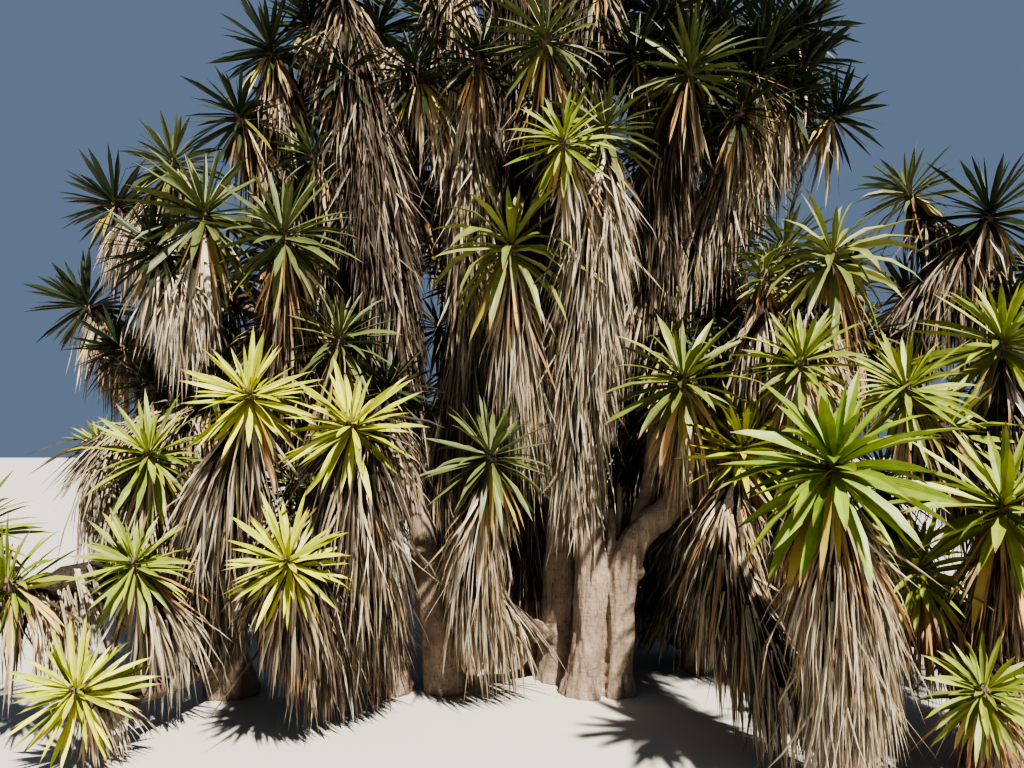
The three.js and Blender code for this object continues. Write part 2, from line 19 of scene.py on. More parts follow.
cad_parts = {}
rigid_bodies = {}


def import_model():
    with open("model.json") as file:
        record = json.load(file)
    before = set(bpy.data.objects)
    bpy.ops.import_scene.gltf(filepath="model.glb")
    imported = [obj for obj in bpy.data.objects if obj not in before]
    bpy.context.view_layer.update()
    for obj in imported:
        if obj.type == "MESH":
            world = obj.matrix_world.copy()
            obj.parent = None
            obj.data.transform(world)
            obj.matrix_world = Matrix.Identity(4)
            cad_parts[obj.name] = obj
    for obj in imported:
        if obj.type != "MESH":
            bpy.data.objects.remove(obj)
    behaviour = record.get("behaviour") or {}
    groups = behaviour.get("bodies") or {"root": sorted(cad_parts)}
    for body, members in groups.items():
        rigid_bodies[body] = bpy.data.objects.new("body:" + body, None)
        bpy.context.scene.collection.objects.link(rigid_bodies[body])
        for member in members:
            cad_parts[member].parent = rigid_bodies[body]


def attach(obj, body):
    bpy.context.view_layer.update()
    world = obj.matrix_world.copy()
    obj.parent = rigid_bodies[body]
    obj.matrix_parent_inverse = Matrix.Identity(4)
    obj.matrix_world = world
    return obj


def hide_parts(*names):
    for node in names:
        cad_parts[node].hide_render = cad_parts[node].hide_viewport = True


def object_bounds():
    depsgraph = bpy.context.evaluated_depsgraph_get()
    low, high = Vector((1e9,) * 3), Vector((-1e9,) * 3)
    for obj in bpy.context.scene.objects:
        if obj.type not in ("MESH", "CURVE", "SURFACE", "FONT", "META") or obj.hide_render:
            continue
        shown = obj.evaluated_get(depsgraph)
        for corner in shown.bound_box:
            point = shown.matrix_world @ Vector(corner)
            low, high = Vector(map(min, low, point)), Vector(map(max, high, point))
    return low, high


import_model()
cad_low, cad_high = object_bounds()
scene = bpy.context.scene
print("model from", [round(v, 2) for v in cad_low], "to", [round(v, 2) for v in cad_high])

# %% [markdown]
# ## The camera
#
# The picture was taken at head height, a little over six metres in front of the trunks, with a wide
# lens tipped slightly up. A camera in the same place gives the same foreshortening: the heads in front
# look much larger than those behind. The lens is given by its focal length, for a 36 mm sensor.

# %% Stand the camera where the picture was taken
def placed(name, data):
    """An object in the scene, at the origin, for a mesh, a curve, a light or a camera."""
    made = bpy.data.objects.new(name, data)
    scene.collection.objects.link(made)
    return made


CAMERA_PLACE = (-0.70, -6.40, 2.10)
CAMERA_TILT = math.radians(2.93)
SENSOR_WIDTH = 36
LENS = 28.125

camera_data = bpy.data.cameras.new("camera")
camera_data.sensor_width = SENSOR_WIDTH
camera_data.lens = LENS
camera = placed("camera", camera_data)
camera.location = CAMERA_PLACE
camera.rotation_euler = (math.pi / 2 + CAMERA_TILT, 0, 0)
scene.camera = camera
print("camera", CAMERA_PLACE, "lens", LENS)

# %% [markdown]
# ## Floor and light
#
# A plant this deep needs one clear light to show its form: a broad sun, high behind the camera and a
# little to the right, whose soft edge keeps the shadows of the leaves gentle. The pale blue sky around
# it fills the shade. The floor is one plain quad. The view transform is given its high contrast look,
# because the shade between the leaves of a real crown is nearly black.

# %% Floor, sky and sun
FLOOR_SIDE = 90
SUN_STRENGTH = 8.6
SUN_ANGLE = math.radians(1.6)
SUN_HEIGHT = math.radians(52)
SUN_TO_THE_RIGHT = math.radians(28)
SKY_STRENGTH = 0.3


def srgb(red, green, blue):
    """A colour as a paint chart gives it, from 0 to 255, in the linear values that shaders use."""
    shares = np.array([red, green, blue]) / 255
    linear = np.where(shares <= 0.04045, shares / 12.92, ((shares + 0.055) / 1.055) ** 2.4)
    return (*(float(v) for v in linear), 1.0)


def plain_floor(side):
    bm = bmesh.new()
    bmesh.ops.create_grid(bm, x_segments=1, y_segments=1, size=side / 2)
    mesh = bpy.data.meshes.new("floor")
    bm.to_mesh(mesh)
    bm.free()
    paint = bpy.data.materials.new("floor")
    paint.use_nodes = True
    shader = paint.node_tree.nodes["Principled BSDF"]
    shader.inputs["Base Color"].default_value = srgb(188, 184, 176)
    shader.inputs["Roughness"].default_value = 0.9
    mesh.materials.append(paint)
    return placed("floor", mesh)


plain_floor(FLOOR_SIDE)

sky = bpy.data.worlds.new("sky")
sky.use_nodes = True
sky.node_tree.nodes["Background"].inputs["Color"].default_value = srgb(178, 203, 238)
sky.node_tree.nodes["Background"].inputs["Strength"].default_value = SKY_STRENGTH
scene.world = sky
scene.view_settings.look = "AgX - High Contrast"

sun_data = bpy.data.lights.new("sun", "SUN")
sun_data.energy = SUN_STRENGTH
sun_data.angle = SUN_ANGLE
sun_data.color = (1.0, 0.95, 0.87)
sun = placed("sun", sun_data)
sun.rotation_euler = (math.pi / 2 - SUN_HEIGHT, 0, SUN_TO_THE_RIGHT)
print("sun", round(math.degrees(SUN_HEIGHT)), "degrees high")

# %% [markdown]
# ## The plan of the plant
#
# These tables are the design, in metres. A trunk stands on its foot and passes through a few
# points. A bough leaves its parent at a share of that limb's length. A mass of foliage is one stem that
# leaves a limb, passes one point and ends in its first head; more heads branch off that stem. A head is
# its place, the lean of its stem, the size of its leaves and their colour, where deep green is partly
# painted shade. A skirt is the length and the radius of the dead leaves, and thatch says which colours
# they have faded to; the dark mix also paints the shade inside the crown.

# %% Trunks and boughs
def trunk(foot, radii, *through):
    return dict(foot=foot, radii=radii, through=through)


def bough(parent, at, radii, *through):
    return dict(parent=parent, at=at, radii=radii, through=through)


MAIN_STEMS = {
    "left": trunk((-0.13, 0), (0.14, 0.115), (-0.065, 0, 0.65), (-0.1, -0.01, 1.2), (-0.19, -0.03, 1.6)),
    "right": trunk((0.1, 0.02), (0.125, 0.12), (0.14, 0.01, 0.6), (0.19, 0, 0.95), (0.28, -0.02, 1.22)),
}
TRUNKS = {
    "trunk_middle": trunk((-0.3, 0.4), (0.165, 0.12), (-0.29, 0.36, 0.7), (-0.3, 0.32, 1.5)),
    "trunk_back": trunk((-0.56, 0.71), (0.135, 0.105), (-0.56, 0.68, 0.7), (-0.54, 0.6, 1.5)),
    "trunk_left": trunk((-1.23, 0.08), (0.13, 0.11), (-1.33, 0, 0.65), (-1.42, -0.04, 1.3)),
    "trunk_leaning": trunk((-1.15, 0.5), (0.13, 0.11), (-1.27, 0.45, 0.8), (-1.31, 0.4, 1.65)),
    "trunk_low_left": trunk((-1.68, 0.08), (0.15, 0.12), (-1.77, 0, 0.5), (-1.88, -0.1, 0.95)),
    "trunk_far_left": trunk((-2.9, 0), (0.145, 0.12), (-2.92, -0.08, 0.4), (-2.98, -0.15, 0.85)),
    "trunk_right": trunk((0.92, 0.62), (0.13, 0.11), (0.95, 0.6, 0.6), (1.01, 0.55, 1.25)),
    "trunk_front_right": trunk((1.2, -1.75), (0.14, 0.11), (1.17, -1.82, 0.2), (1.13, -1.88, 0.4)),
    "trunk_far_right": trunk((2.3, -1.35), (0.145, 0.115), (2.31, -1.37, 0.22), (2.32, -1.4, 0.45)),
}
BOUGHS = {
    "bough_right_arm": bough("right", 1, (0.115, 0.095), (0.44, -0.05, 1.37), (0.64, -0.12, 1.55)),
    "bough_left_column": bough("trunk_left", 1, (0.108, 0.09), (-1.56, -0.01, 1.8), (-1.57, 0, 2.35)),
    "bough_upper_left": bough("bough_left_column", 0.7, (0.08, 0.065), (-1.85, 0.3, 2.9), (-2.4, 0.25, 3.7)),
    "bough_west": bough("trunk_far_left", 1, (0.115, 0.08), (-3.05, 0.05, 1.8), (-3.15, 0.15, 2.9)),
    "bough_left_middle": bough("trunk_low_left", 1, (0.115, 0.085), (-2.1, -0.15, 1.7), (-2.25, -0.25, 2.5)),
    "bough_pale": bough("trunk_leaning", 1, (0.105, 0.09), (-1.2, 0.35, 2.25), (-1.08, 0.3, 2.8)),
    "bough_centre_high": bough("trunk_middle", 1, (0.11, 0.09), (-0.43, 0.32, 2.3), (-0.38, 0.25, 3.3)),
    "bough_right_high": bough("trunk_middle", 0.85, (0.1, 0.08), (-0.05, 0.42, 2.3), (0.5, 0.35, 3.35)),
    "bough_back_high": bough("trunk_back", 1, (0.1, 0.075), (-0.75, 0.85, 2.7), (-0.7, 0.85, 4.2)),
    "bough_back_low": bough("trunk_back", 0.6, (0.085, 0.065), (-0.9, 1.3, 1.4), (-1.15, 1.8, 1.75)),
    "bough_back_left": bough("trunk_leaning", 0.8, (0.085, 0.065), (-1.7, 0.9, 1.9), (-2.2, 1.3, 2.5)),
    "bough_back_right": bough("trunk_right", 0.9, (0.09, 0.07), (1.1, 1.1, 2), (1.25, 1.5, 2.7)),
    "bough_right_up": bough("trunk_right", 1, (0.105, 0.085), (1.2, 0.45, 1.8), (1.35, 0.35, 2.3)),
    "bough_far_right": bough("trunk_right", 0.75, (0.085, 0.065), (1.6, 0.65, 1.9), (2.2, 0.45, 2.5)),
}
LIMBS = {**MAIN_STEMS, **TRUNKS, **BOUGHS}
print(len(TRUNKS) + 1, "trunks and", len(BOUGHS), "boughs")

# %% Masses of foliage on the left
def foliage(parent, at, by, skirt, thatch, *heads):
    return dict(parent=parent, at=at, by=by, skirt=skirt, thatch=thatch, heads=heads)


MASSES = {
    "heads_west_low": foliage(
        "bough_west", 0.6, (-3.7, 0.4, 2.6), (1.1, 0.24), "grey",
        (-4.65, 0.9, 3.25, -0.9, 0.3, 0.95, "deep"), (-4.05, 0.3, 2.8, -0.9, -0.3, 0.85, "deep"),
    ),
    "heads_west_high": foliage(
        "bough_west", 1, (-3.6, 0.25, 3.6), (1.3, 0.25), "grey",
        (-4.3, 0.7, 4.15, -0.6, 0.2, 0.95, "deep"), (-3.6, 0.3, 4.4, -0.2, -0.1, 0.9, "mid"),
    ),
    "head_pale_skirt": foliage(
        "bough_west", 0.75, (-3.17, -0.35, 2.95), (1.1, 0.27), "bleached",
        (-3, -0.5, 3.75, 0.05, -0.3, 1.22, "mid"),
    ),
    "head_shaded": foliage(
        "bough_left_middle", 1, (-2.35, -0.45, 2.95), (0.95, 0.22), "brown",
        (-2.35, -0.7, 3.55, 0, -0.35, 1.15, "mid"),
    ),
    "heads_upper_left": foliage(
        "bough_upper_left", 1, (-2.65, 0.25, 4.3), (1.5, 0.25), "brown",
        (-2.75, 0.2, 5.35, -0.2, 0, 0.95, "deep"), (-2.95, 0, 4.7, -0.3, -0.2, 0.9, "deep"),
    ),
    "heads_left_column": foliage(
        "bough_left_column", 1, (-1.75, 0, 3.6), (3.6, 0.34), "dark",
        (-2.15, 0.15, 5.9, -0.1, 0, 0.95, "deep"), (-2.35, -0.05, 4.35, -0.5, -0.4, 0.75, "mid"),
    ),
    "head_left_inner": foliage(
        "bough_left_middle", 0.6, (-2.05, -0.45, 2.2), (0.9, 0.2), "grey",
        (-1.95, -0.6, 2.8, 0.1, -0.2, 0.85, "mid"),
    ),
    "heads_left_bright": foliage(
        "trunk_far_left", 0.95, (-2.8, -0.7, 1.5), (2.2, 0.3), "grey",
        (-2.45, -1.1, 2.35, 0.1, -0.9, 0.88, "yellow"), (-2.65, -0.7, 1.6, 0.2, -0.3, 0.6, "mid"),
    ),
    "head_centre_left": foliage(
        "trunk_low_left", 0.35, (-1.7, -0.85, 1.15), (1.9, 0.32), "brown",
        (-1.75, -1.2, 2.15, 0, -0.8, 0.92, "yellow"),
    ),
    "heads_left_edge": foliage(
        "trunk_far_left", 1, (-3.25, -0.5, 1.35), (1.8, 0.3), "straw",
        (-3.2, -0.9, 1.95, 0.1, -0.7, 0.82, "bright"), (-3.75, -0.5, 2, -0.3, -0.3, 0.5, "bright"),
    ),
    "head_left_low": foliage(
        "trunk_far_left", 0.7, (-3.1, -0.85, 0.8), (0.95, 0.28), "pale",
        (-3.15, -1.2, 1.25, 0, -0.8, 0.78, "bright"),
    ),
    "head_front_low": foliage(
        "trunk_low_left", 0.25, (-2, -0.9, 0.7), (0.8, 0.32), "brown",
        (-2.1, -1.4, 1.3, 0, -0.9, 0.83, "yellow"),
    ),
    "head_ground_left": foliage(
        "trunk_far_left", 0.35, (-3.15, -1.05, 0.33), (0.7, 0.2), "pale",
        (-3.3, -1.6, 0.56, -0.1, -1.1, 0.76, "yellow"),
    ),
    "head_left_outer": foliage(
        "trunk_far_left", 0.85, (-3.55, -0.8, 1.05), (0.9, 0.26), "pale",
        (-3.95, -1.3, 1.15, -0.9, -0.7, 0.8, "bright"),
    ),
}

# %% Masses of foliage in the middle
MASSES.update({
    "head_front_centre": foliage(
        "trunk_middle", 0.2, (-0.95, -0.45, 0.9), (1.75, 0.24), "straw",
        (-0.85, -0.7, 1.95, 0.05, -0.3, 0.98, "mid"),
    ),
    "head_drooping": foliage(
        "bough_centre_high", 0.1, (-0.62, -0.25, 2.45), (1.9, 0.22), "pale",
        (-0.7, -0.5, 3.5, 0.05, -0.1, 1.38, "mid"),
    ),
    "heads_centre_column": foliage(
        "left", 1, (-0.16, -0.25, 2.7), (3.1, 0.32), "pale",
        (0, -0.6, 4.35, 0.1, -0.1, 0.9, "mid"), (-0.35, -0.9, 4.15, -0.3, -0.8, 0.8, "bright"),
    ),
    "heads_centre_top": foliage(
        "bough_centre_high", 1, (-0.3, 0.1, 4.2), (2.4, 0.27), "dark",
        (0.05, 0.2, 6.1, 0.1, 0, 0.95, "deep"), (-0.45, -0.5, 5.1, -0.1, -0.4, 1.05, "mid"),
    ),
    "heads_pale_column": foliage(
        "bough_pale", 1, (-1.05, 0.2, 3.9), (3.3, 0.28), "straw",
        (-1.3, 0.3, 6.25, -0.1, 0, 0.95, "deep"),
        (-0.95, -0.2, 5.1, 0.1, -0.3, 0.9, "deep"),
        (-1.5, 0, 5.05, -0.3, -0.2, 0.9, "deep"),
    ),
    "heads_right_crown": foliage(
        "bough_right_high", 1, (0.55, 0.2, 4.1), (2.6, 0.28), "dark",
        (0.6, 0.35, 5.7, 0, 0, 0.95, "deep"),
        (0.7, -0.3, 4.95, 0.1, -0.3, 1.05, "mid"),
        (1, 0.6, 6.25, 0.2, 0.2, 0.95, "deep"),
    ),
    "heads_east_crown": foliage(
        "bough_right_high", 0.85, (0.95, 0.5, 3.8), (2.4, 0.29), "straw",
        (1.95, 0.5, 5.35, 0.9, -0.1, 0.95, "deep"),
        (1.35, 0.1, 5.1, 0.3, -0.2, 0.9, "deep"),
        (1.55, 0.9, 4.65, 0.7, 0.4, 0.9, "deep"),
    ),
    "heads_summit": foliage(
        "bough_back_high", 1, (-0.7, 0.75, 5.1), (2.5, 0.27), "dark",
        (-0.6, 0.5, 6.85, 0, -0.1, 0.98, "deep"), (-0.25, 1.3, 6.15, 0.2, 0.5, 0.95, "mid"),
    ),
})

# %% Masses of foliage on the right
MASSES.update({
    "heads_right_arm": foliage(
        "bough_right_arm", 1, (0.64, -0.25, 1.95), (0.85, 0.34), "white",
        (0.55, -0.6, 2.5, 0, -0.3, 1.14, "bright"), (0.65, 0.4, 2.95, 0.1, 0.3, 0.88, "mid"),
    ),
    "head_right_leaning": foliage(
        "trunk_front_right", 0.3, (0.75, -0.95, 1.15), (2, 0.27), "orange",
        (0.95, -0.7, 2, 0.1, -0.3, 0.88, "yellow"),
    ),
    "head_right_front": foliage(
        "trunk_front_right", 1, (1.12, -1.98, 1.1), (1.85, 0.32), "white",
        (1.03, -2.1, 1.95, 0, -0.15, 1.2, "bright"),
    ),
    "heads_right_upper": foliage(
        "bough_right_up", 1, (1.5, 0, 2.75), (1.9, 0.32), "white",
        (1.65, -0.6, 3.4, 0, -0.2, 1.25, "bright"), (1.6, 0.3, 3.65, -0.1, 0.2, 0.85, "mid"),
    ),
    "heads_far_right": foliage(
        "bough_far_right", 1, (2.7, 0.3, 3.05), (1.6, 0.27), "brown",
        (3.3, 0.2, 3.95, 0.1, -0.1, 1.15, "deep"), (4, 0.35, 3.5, 0.8, 0.1, 1, "deep"),
    ),
    "heads_right_edge": foliage(
        "trunk_far_right", 1, (2.23, -1.6, 1.1), (1.5, 0.3), "orange",
        (2.15, -1.75, 1.7, 0, -0.2, 1.2, "bright"), (1.85, -2, 0.7, -0.3, -0.7, 0.65, "bright"),
    ),
    "heads_right_bright": foliage(
        "trunk_far_right", 0.9, (2.65, -1.05, 1.7), (2.2, 0.29), "brown",
        (2.7, -0.9, 2.75, 0, -0.2, 1.2, "bright"), (3.3, -0.8, 2.15, 0.6, -0.1, 0.95, "bright"),
    ),
    "heads_behind_right": foliage(
        "bough_back_right", 0.5, (1.12, 0.95, 2.5), (1.6, 0.25), "grey",
        (1.15, 0.9, 3.3, 0, -0.1, 0.9, "deep"), (0.7, 2.15, 2.55, -0.3, 0.8, 0.9, "mid"),
    ),
})

# %% Masses of foliage behind
MASSES.update({
    "heads_back_left": foliage(
        "bough_back_left", 1, (-2.45, 1.6, 3), (1.8, 0.26), "grey",
        (-2.5, 2, 3.7, -0.1, 0.3, 1, "mid"), (-3.45, 1.75, 2.5, -0.8, 0.3, 0.95, "deep"),
    ),
    "heads_back_high": foliage(
        "bough_back_high", 0.55, (-1, 1.5, 3.7), (1.9, 0.26), "straw",
        (-1.15, 2.25, 4.5, -0.1, 0.5, 1, "mid"), (-2, 1.9, 4.95, -0.4, 0.3, 0.85, "deep"),
    ),
    "heads_back_centre": foliage(
        "bough_back_high", 0.3, (-0.25, 1.5, 3.5), (2.2, 0.25), "brown",
        (0.2, 2.3, 4.8, 0.1, 0.5, 1, "mid"), (-0.35, 2.25, 3.25, -0.1, 0.8, 0.95, "deep"),
    ),
    "heads_back_right": foliage(
        "bough_back_right", 1, (1.45, 1.75, 3.3), (2, 0.27), "straw",
        (1.6, 2.15, 4.3, 0.1, 0.4, 1, "mid"), (2.55, 1.75, 3.25, 0.8, 0.3, 0.95, "mid"),
    ),
    "heads_back_low": foliage(
        "bough_back_low", 1, (-1.3, 2.05, 2.05), (1.4, 0.24), "grey",
        (-1.85, 2.65, 2.4, -0.3, 0.6, 0.95, "mid"), (-1.1, 2.3, 2.75, 0.1, 0.4, 0.85, "deep"),
    ),
})
print(len(MASSES), "masses with", sum(len(mass["heads"]) for mass in MASSES.values()), "heads")

# %% [markdown]
# ## The smaller heads between them
#
# An old clump has many more heads than the solid model can carry. These are the rest of those that show
# from the front. Each grows on a branch of the mass it is listed under, inside the same crown, and it has
# the two sizes of its own skirt after the colour: how far down the skirt hangs, and its radius.

# %% Shoots of the left and the middle
SHOOTS = {
    "heads_left_column": [
        (-2.44, 0.3, 5.64, -0.2, -0.1, 0.85, "deep", 1.3, 0.22),
        (-1.96, 0.6, 5.14, 0.2, 0, 0.8, "deep", 1.4, 0.22),
        (-2.04, -0.1, 5.02, 0.1, -0.3, 0.85, "deep", 2, 0.28),
        (-2.32, 0.3, 4.31, 0.1, -0.3, 0.8, "deep", 1.3, 0.22),
    ],
    "heads_pale_column": [
        (-1.93, 1.2, 4.8, -0.3, 0.2, 0.8, "deep", 0.7, 0.16),
        (-1.33, 0.2, 5.57, 0.1, -0.2, 0.9, "deep", 2, 0.24),
        (-1.91, 0.5, 5.68, -0.3, 0, 0.9, "deep", 1.2, 0.2),
    ],
    "heads_summit": [
        (-0.81, 0.8, 5.93, 0.1, -0.2, 0.9, "deep", 1.4, 0.22),
        (-1.1, 0.4, 6.5, -0.4, -0.2, 0.9, "deep", 1, 0.2),
        (-0.2, 0.7, 6.45, 0.3, -0.2, 0.9, "deep", 1, 0.2),
    ],
    "heads_centre_top": [
        (-0.63, 0.7, 5.24, -0.1, -0.2, 0.85, "deep", 1.8, 0.24),
        (-0.08, 0.2, 5.22, 0.1, -0.3, 0.85, "deep", 1.5, 0.22),
        (-0.53, 0.9, 4.27, 0, -0.2, 0.8, "deep", 1, 0.18),
    ],
    "heads_left_edge": [
        (-3, -0.25, 2.5, 0, -0.3, 0.8, "deep", 2.1, 0.34),
        (-3.55, -0.1, 2.5, -0.3, -0.2, 0.75, "deep", 1.8, 0.3),
    ],
    "head_shaded": [(-2.6, -0.15, 3, -0.1, -0.2, 0.8, "deep", 2.4, 0.34)],
    "head_centre_left": [(-1.62, -0.45, 2.45, 0.1, -0.3, 0.8, "deep", 2.1, 0.34)],
    "head_front_low": [(-2.3, -0.6, 1.75, -0.1, -0.4, 0.7, "mid", 1.5, 0.34)],
    "head_pale_skirt": [(-3.4, -0.5, 3.5, -0.3, -0.3, 0.85, "deep", 1, 0.36)],
    "head_left_outer": [(-4.33, -1.1, 1.48, -0.5, -0.3, 0.8, "bright", 0.8, 0.2)],
}

# %% Shoots of the right
SHOOTS.update({
    "heads_right_crown": [
        (0.45, 0.6, 5.36, 0, -0.1, 0.9, "deep", 0.8, 0.2),
        (1.14, 0.5, 5.72, 0.2, -0.1, 0.95, "deep", 0.7, 0.2),
        (0.48, 0.1, 4.49, 0.1, -0.5, 0.7, "mid", 1.1, 0.2),
        (0.25, 0.5, 5.75, -0.2, -0.2, 0.95, "deep", 0.7, 0.2),
        (0.8, 0.1, 5.35, 0.1, -0.3, 0.95, "deep", 0.7, 0.2),
        (1, 0.3, 5, 0.2, -0.3, 0.9, "deep", 0.8, 0.2),
        (0.3, -0.05, 5.2, -0.1, -0.4, 0.9, "deep", 0.6, 0.18),
        (0.6, 0.75, 5.95, 0, -0.1, 0.95, "deep", 0.6, 0.2),
    ],
    "heads_east_crown": [
        (1.26, 0.3, 5.33, 0.2, -0.3, 0.95, "deep", 0.9, 0.22),
        (1.73, 0.8, 5.81, 0.4, 0, 0.95, "deep", 0.7, 0.2),
        (1.42, 1.1, 4.09, 0.5, 0.2, 0.8, "deep", 0.9, 0.18),
        (1.55, 0.4, 5.5, 0.4, -0.2, 1, "deep", 0.7, 0.2),
        (1.75, 0.3, 5, 0.6, -0.2, 0.95, "deep", 0.8, 0.2),
        (1.95, 0.9, 5, 0.8, 0.1, 0.9, "deep", 0.7, 0.2),
        (2.15, 0.4, 4.85, 0.7, -0.2, 0.9, "deep", 0.3, 0.12),
        (1.2, 0, 4.75, 0.3, -0.4, 0.85, "deep", 0.6, 0.18),
        (1.95, 0.6, 5.75, 0.5, -0.1, 0.95, "deep", 0.6, 0.2),
    ],
    "heads_behind_right": [
        (0.34, 1.2, 3.78, -0.2, -0.2, 0.85, "deep", 1, 0.2),
        (0.54, 1, 2.93, -0.3, -0.3, 0.8, "deep", 0.8, 0.18),
        (0.75, 0.95, 2.4, -0.3, -0.3, 0.8, "deep", 1.7, 0.42),
        (0.5, 1.35, 2.2, -0.4, -0.2, 0.8, "deep", 1.2, 0.36),
    ],
    "heads_right_upper": [
        (1.4, 0.05, 3.48, -0.2, -0.1, 0.5, "mid", 1.6, 0.31),
        (2.28, 0.3, 2.94, 0.3, -0.2, 0.8, "mid", 0.9, 0.2),
        (1.26, -1, 2.6, -0.1, -0.3, 0.85, "bright", 1.2, 0.26),
    ],
    "heads_far_right": [
        (2.73, 0.5, 3.29, -0.4, 0, 0.9, "deep", 0.8, 0.2),
        (3.46, 0.2, 3.22, 0.2, -0.4, 0.9, "deep", 0.9, 0.22),
    ],
    "heads_right_bright": [
        (1.86, -1.2, 2.4, -0.3, -0.4, 0.9, "bright", 1, 0.22),
        (2.25, -0.4, 2.45, -0.4, -0.3, 0.8, "bright", 1, 0.22),
        (2.24, -1, 2.13, -0.2, -0.4, 0.85, "bright", 1.2, 0.24),
    ],
    "heads_right_edge": [(1.74, -1.5, 1.28, -0.4, -0.3, 0.75, "bright", 1, 0.24)],
    "heads_right_arm": [
        (1.24, -0.2, 2.28, 0.3, -0.2, 0.75, "bright", 0.9, 0.2),
        (1.12, 0.1, 1.33, 0.3, -0.2, 0.6, "mid", 0.8, 0.2),
    ],
    "heads_back_centre": [(-1.11, 1.3, 3.41, -0.1, -0.2, 0.8, "deep", 0.8, 0.18)],
})
print(sum(len(shoots) for shoots in SHOOTS.values()), "shoots")

# %% Low stems that close the view between the trunks
LOW_STEMS = [  # the mass each belongs to, whose thatch it takes, and its plan as in the other tables
    ("heads_behind_right", foliage("trunk_right", 0.12, (0.6, 1.2, 0.9), (1.8, 0.38), None,
        (0.44, 1.4, 2.3, -0.1, -0.1, 0.85, "deep"))),
    ("heads_back_low", foliage("trunk_back", 0.12, (-0.25, 1.25, 0.8), (1.7, 0.36), None,
        (0.05, 1.5, 2.1, 0.1, -0.1, 0.85, "deep"))),
    ("heads_back_left", foliage("trunk_leaning", 0.1, (-1.15, 1.2, 0.9), (1.7, 0.36), None,
        (-1.1, 1.5, 2.2, 0, -0.1, 0.85, "deep"))),
    ("heads_behind_right", foliage("trunk_right", 0.2, (1.45, 0.9, 0.9), (1.6, 0.36), None,
        (1.75, 0.9, 2.1, 0.2, -0.1, 0.85, "deep"))),
    ("heads_right_edge", foliage("trunk_far_right", 0.4, (2.2, -0.65, 0.7), (1.4, 0.34), None,
        (2.1, -0.35, 1.75, 0, -0.1, 0.9, "mid"))),
    ("heads_right_upper", foliage("trunk_right", 0.15, (1.55, 0.35, 0.8), (1.5, 0.36), None,
        (1.7, 0.1, 1.9, 0.1, -0.1, 0.85, "mid"))),
]
SUNLIT_STEM = ("heads_right_arm", foliage(  # its skirt hangs in the sun beside that of heads_right_upper
    "bough_right_up", 0.35, (1.1, -0.32, 2.2), (1.1, 0.27), None,
    (1.18, -0.45, 3.3, -0.1, -0.1, 0.55, "mid"),
))
print(len(LOW_STEMS), "low stems")

# %% [markdown]
# ## Smooth lines through the points
#
# A limb never bends at a corner, so each one follows a Catmull-Rom spline, a curve that passes through
# all of its points. The centripetal kind is used, whose knots are spaced by the square root of the
# distance, because it doesn't overshoot where the points stand close together. The line is then
# measured, so that any share of its length can be found again, and it knows its own girth.

# %% Lines that are walked by shares of their length
STEPS_BETWEEN_POINTS = 60


def unit(vectors):
    return vectors / np.linalg.norm(vectors, axis=-1, keepdims=True)


def smooth_points(points):
    """Many points along the centripetal Catmull-Rom spline through a few."""
    points = np.array(points, float)
    padded = np.vstack([2 * points[0] - points[1], points, 2 * points[-1] - points[-2]])
    t = np.linspace(0, 1, STEPS_BETWEEN_POINTS, endpoint=False)[:, None]
    runs = []
    for before, start, end, after in zip(padded, padded[1:], padded[2:], padded[3:]):
        d0, d1, d2 = (np.linalg.norm(b - a) ** 0.5 for a, b in
                      ((before, start), (start, end), (end, after)))
        leave = ((start - before) / d0 - (end - before) / (d0 + d1) + (end - start) / d1) * d1
        arrive = ((end - start) / d1 - (after - start) / (d1 + d2) + (after - end) / d2) * d1
        square = -3 * start + 3 * end - 2 * leave - arrive
        cube = 2 * start - 2 * end + leave + arrive
        runs.append(start + leave * t + square * t**2 + cube * t**3)
    return np.vstack([*runs, points[-1:]])


class Line:
    """A centre line with a radius at every point, walked by shares of its length."""

    def __init__(self, points, radii):
        self.points = points
        steps = np.linalg.norm(np.diff(points, axis=0), axis=1)
        self.reach = np.concatenate([[0], np.cumsum(steps)])
        self.length = self.reach[-1]
        if len(radii) == 2:
            radii = np.interp(self.reach, (0, self.length), radii)
        self.radii = np.asarray(radii)

    def at(self, share):
        reach = np.asarray(share) * self.length
        return np.stack([np.interp(reach, self.reach, self.points[:, k]) for k in range(3)], axis=-1)

    def radius(self, share):
        return np.interp(np.asarray(share) * self.length, self.reach, self.radii)

    def along(self, share, step=0.004):
        share = np.asarray(share)
        return unit(self.at(np.minimum(share + step, 1)) - self.at(np.maximum(share - step, 0)))


def joined(lower, left_out, upper):
    """The way up one line and over to the next, which starts that far before the first one ends."""
    kept = lower.reach < lower.length - left_out - 1e-6
    points = np.vstack([lower.points[kept], upper.points])
    return Line(points, np.concatenate([lower.radii[kept], upper.radii]))


# %% The lines of trunks and boughs
CARRY_ON = 0.02  # a bough that carries on from a limb's tip starts this far inside it

lines = {}  # each limb by itself
ways = {}  # each limb with what carries it, from the ground up
for name, limb in LIMBS.items():
    parent = limb.get("parent")
    if parent is None:
        start = np.array([*limb["foot"], 0])
    else:
        start = lines[parent].at(limb["at"])
        if limb["at"] == 1:
            start = start - lines[parent].along(1) * CARRY_ON
    lines[name] = Line(smooth_points([start, *limb["through"]]), limb["radii"])
    ways[name] = lines[name]
    if parent is not None:
        ways[name] = joined(ways[parent], lines[parent].length * (1 - limb["at"]), lines[name])
print("limbs", round(sum(line.length for line in lines.values()), 1), "m long in all")

# %% [markdown]
# ## Stems that fork
#
# Each mass starts with one stem from its limb to its first head. The other heads sit on branches, and a
# branch leaves the stem where it can climb to its head at the plant's usual slope, sagging a little on
# the way. These are the same rules as in the solid model, so the fine plant fills the same space. The
# smaller shoots may leave any stem of their mass.

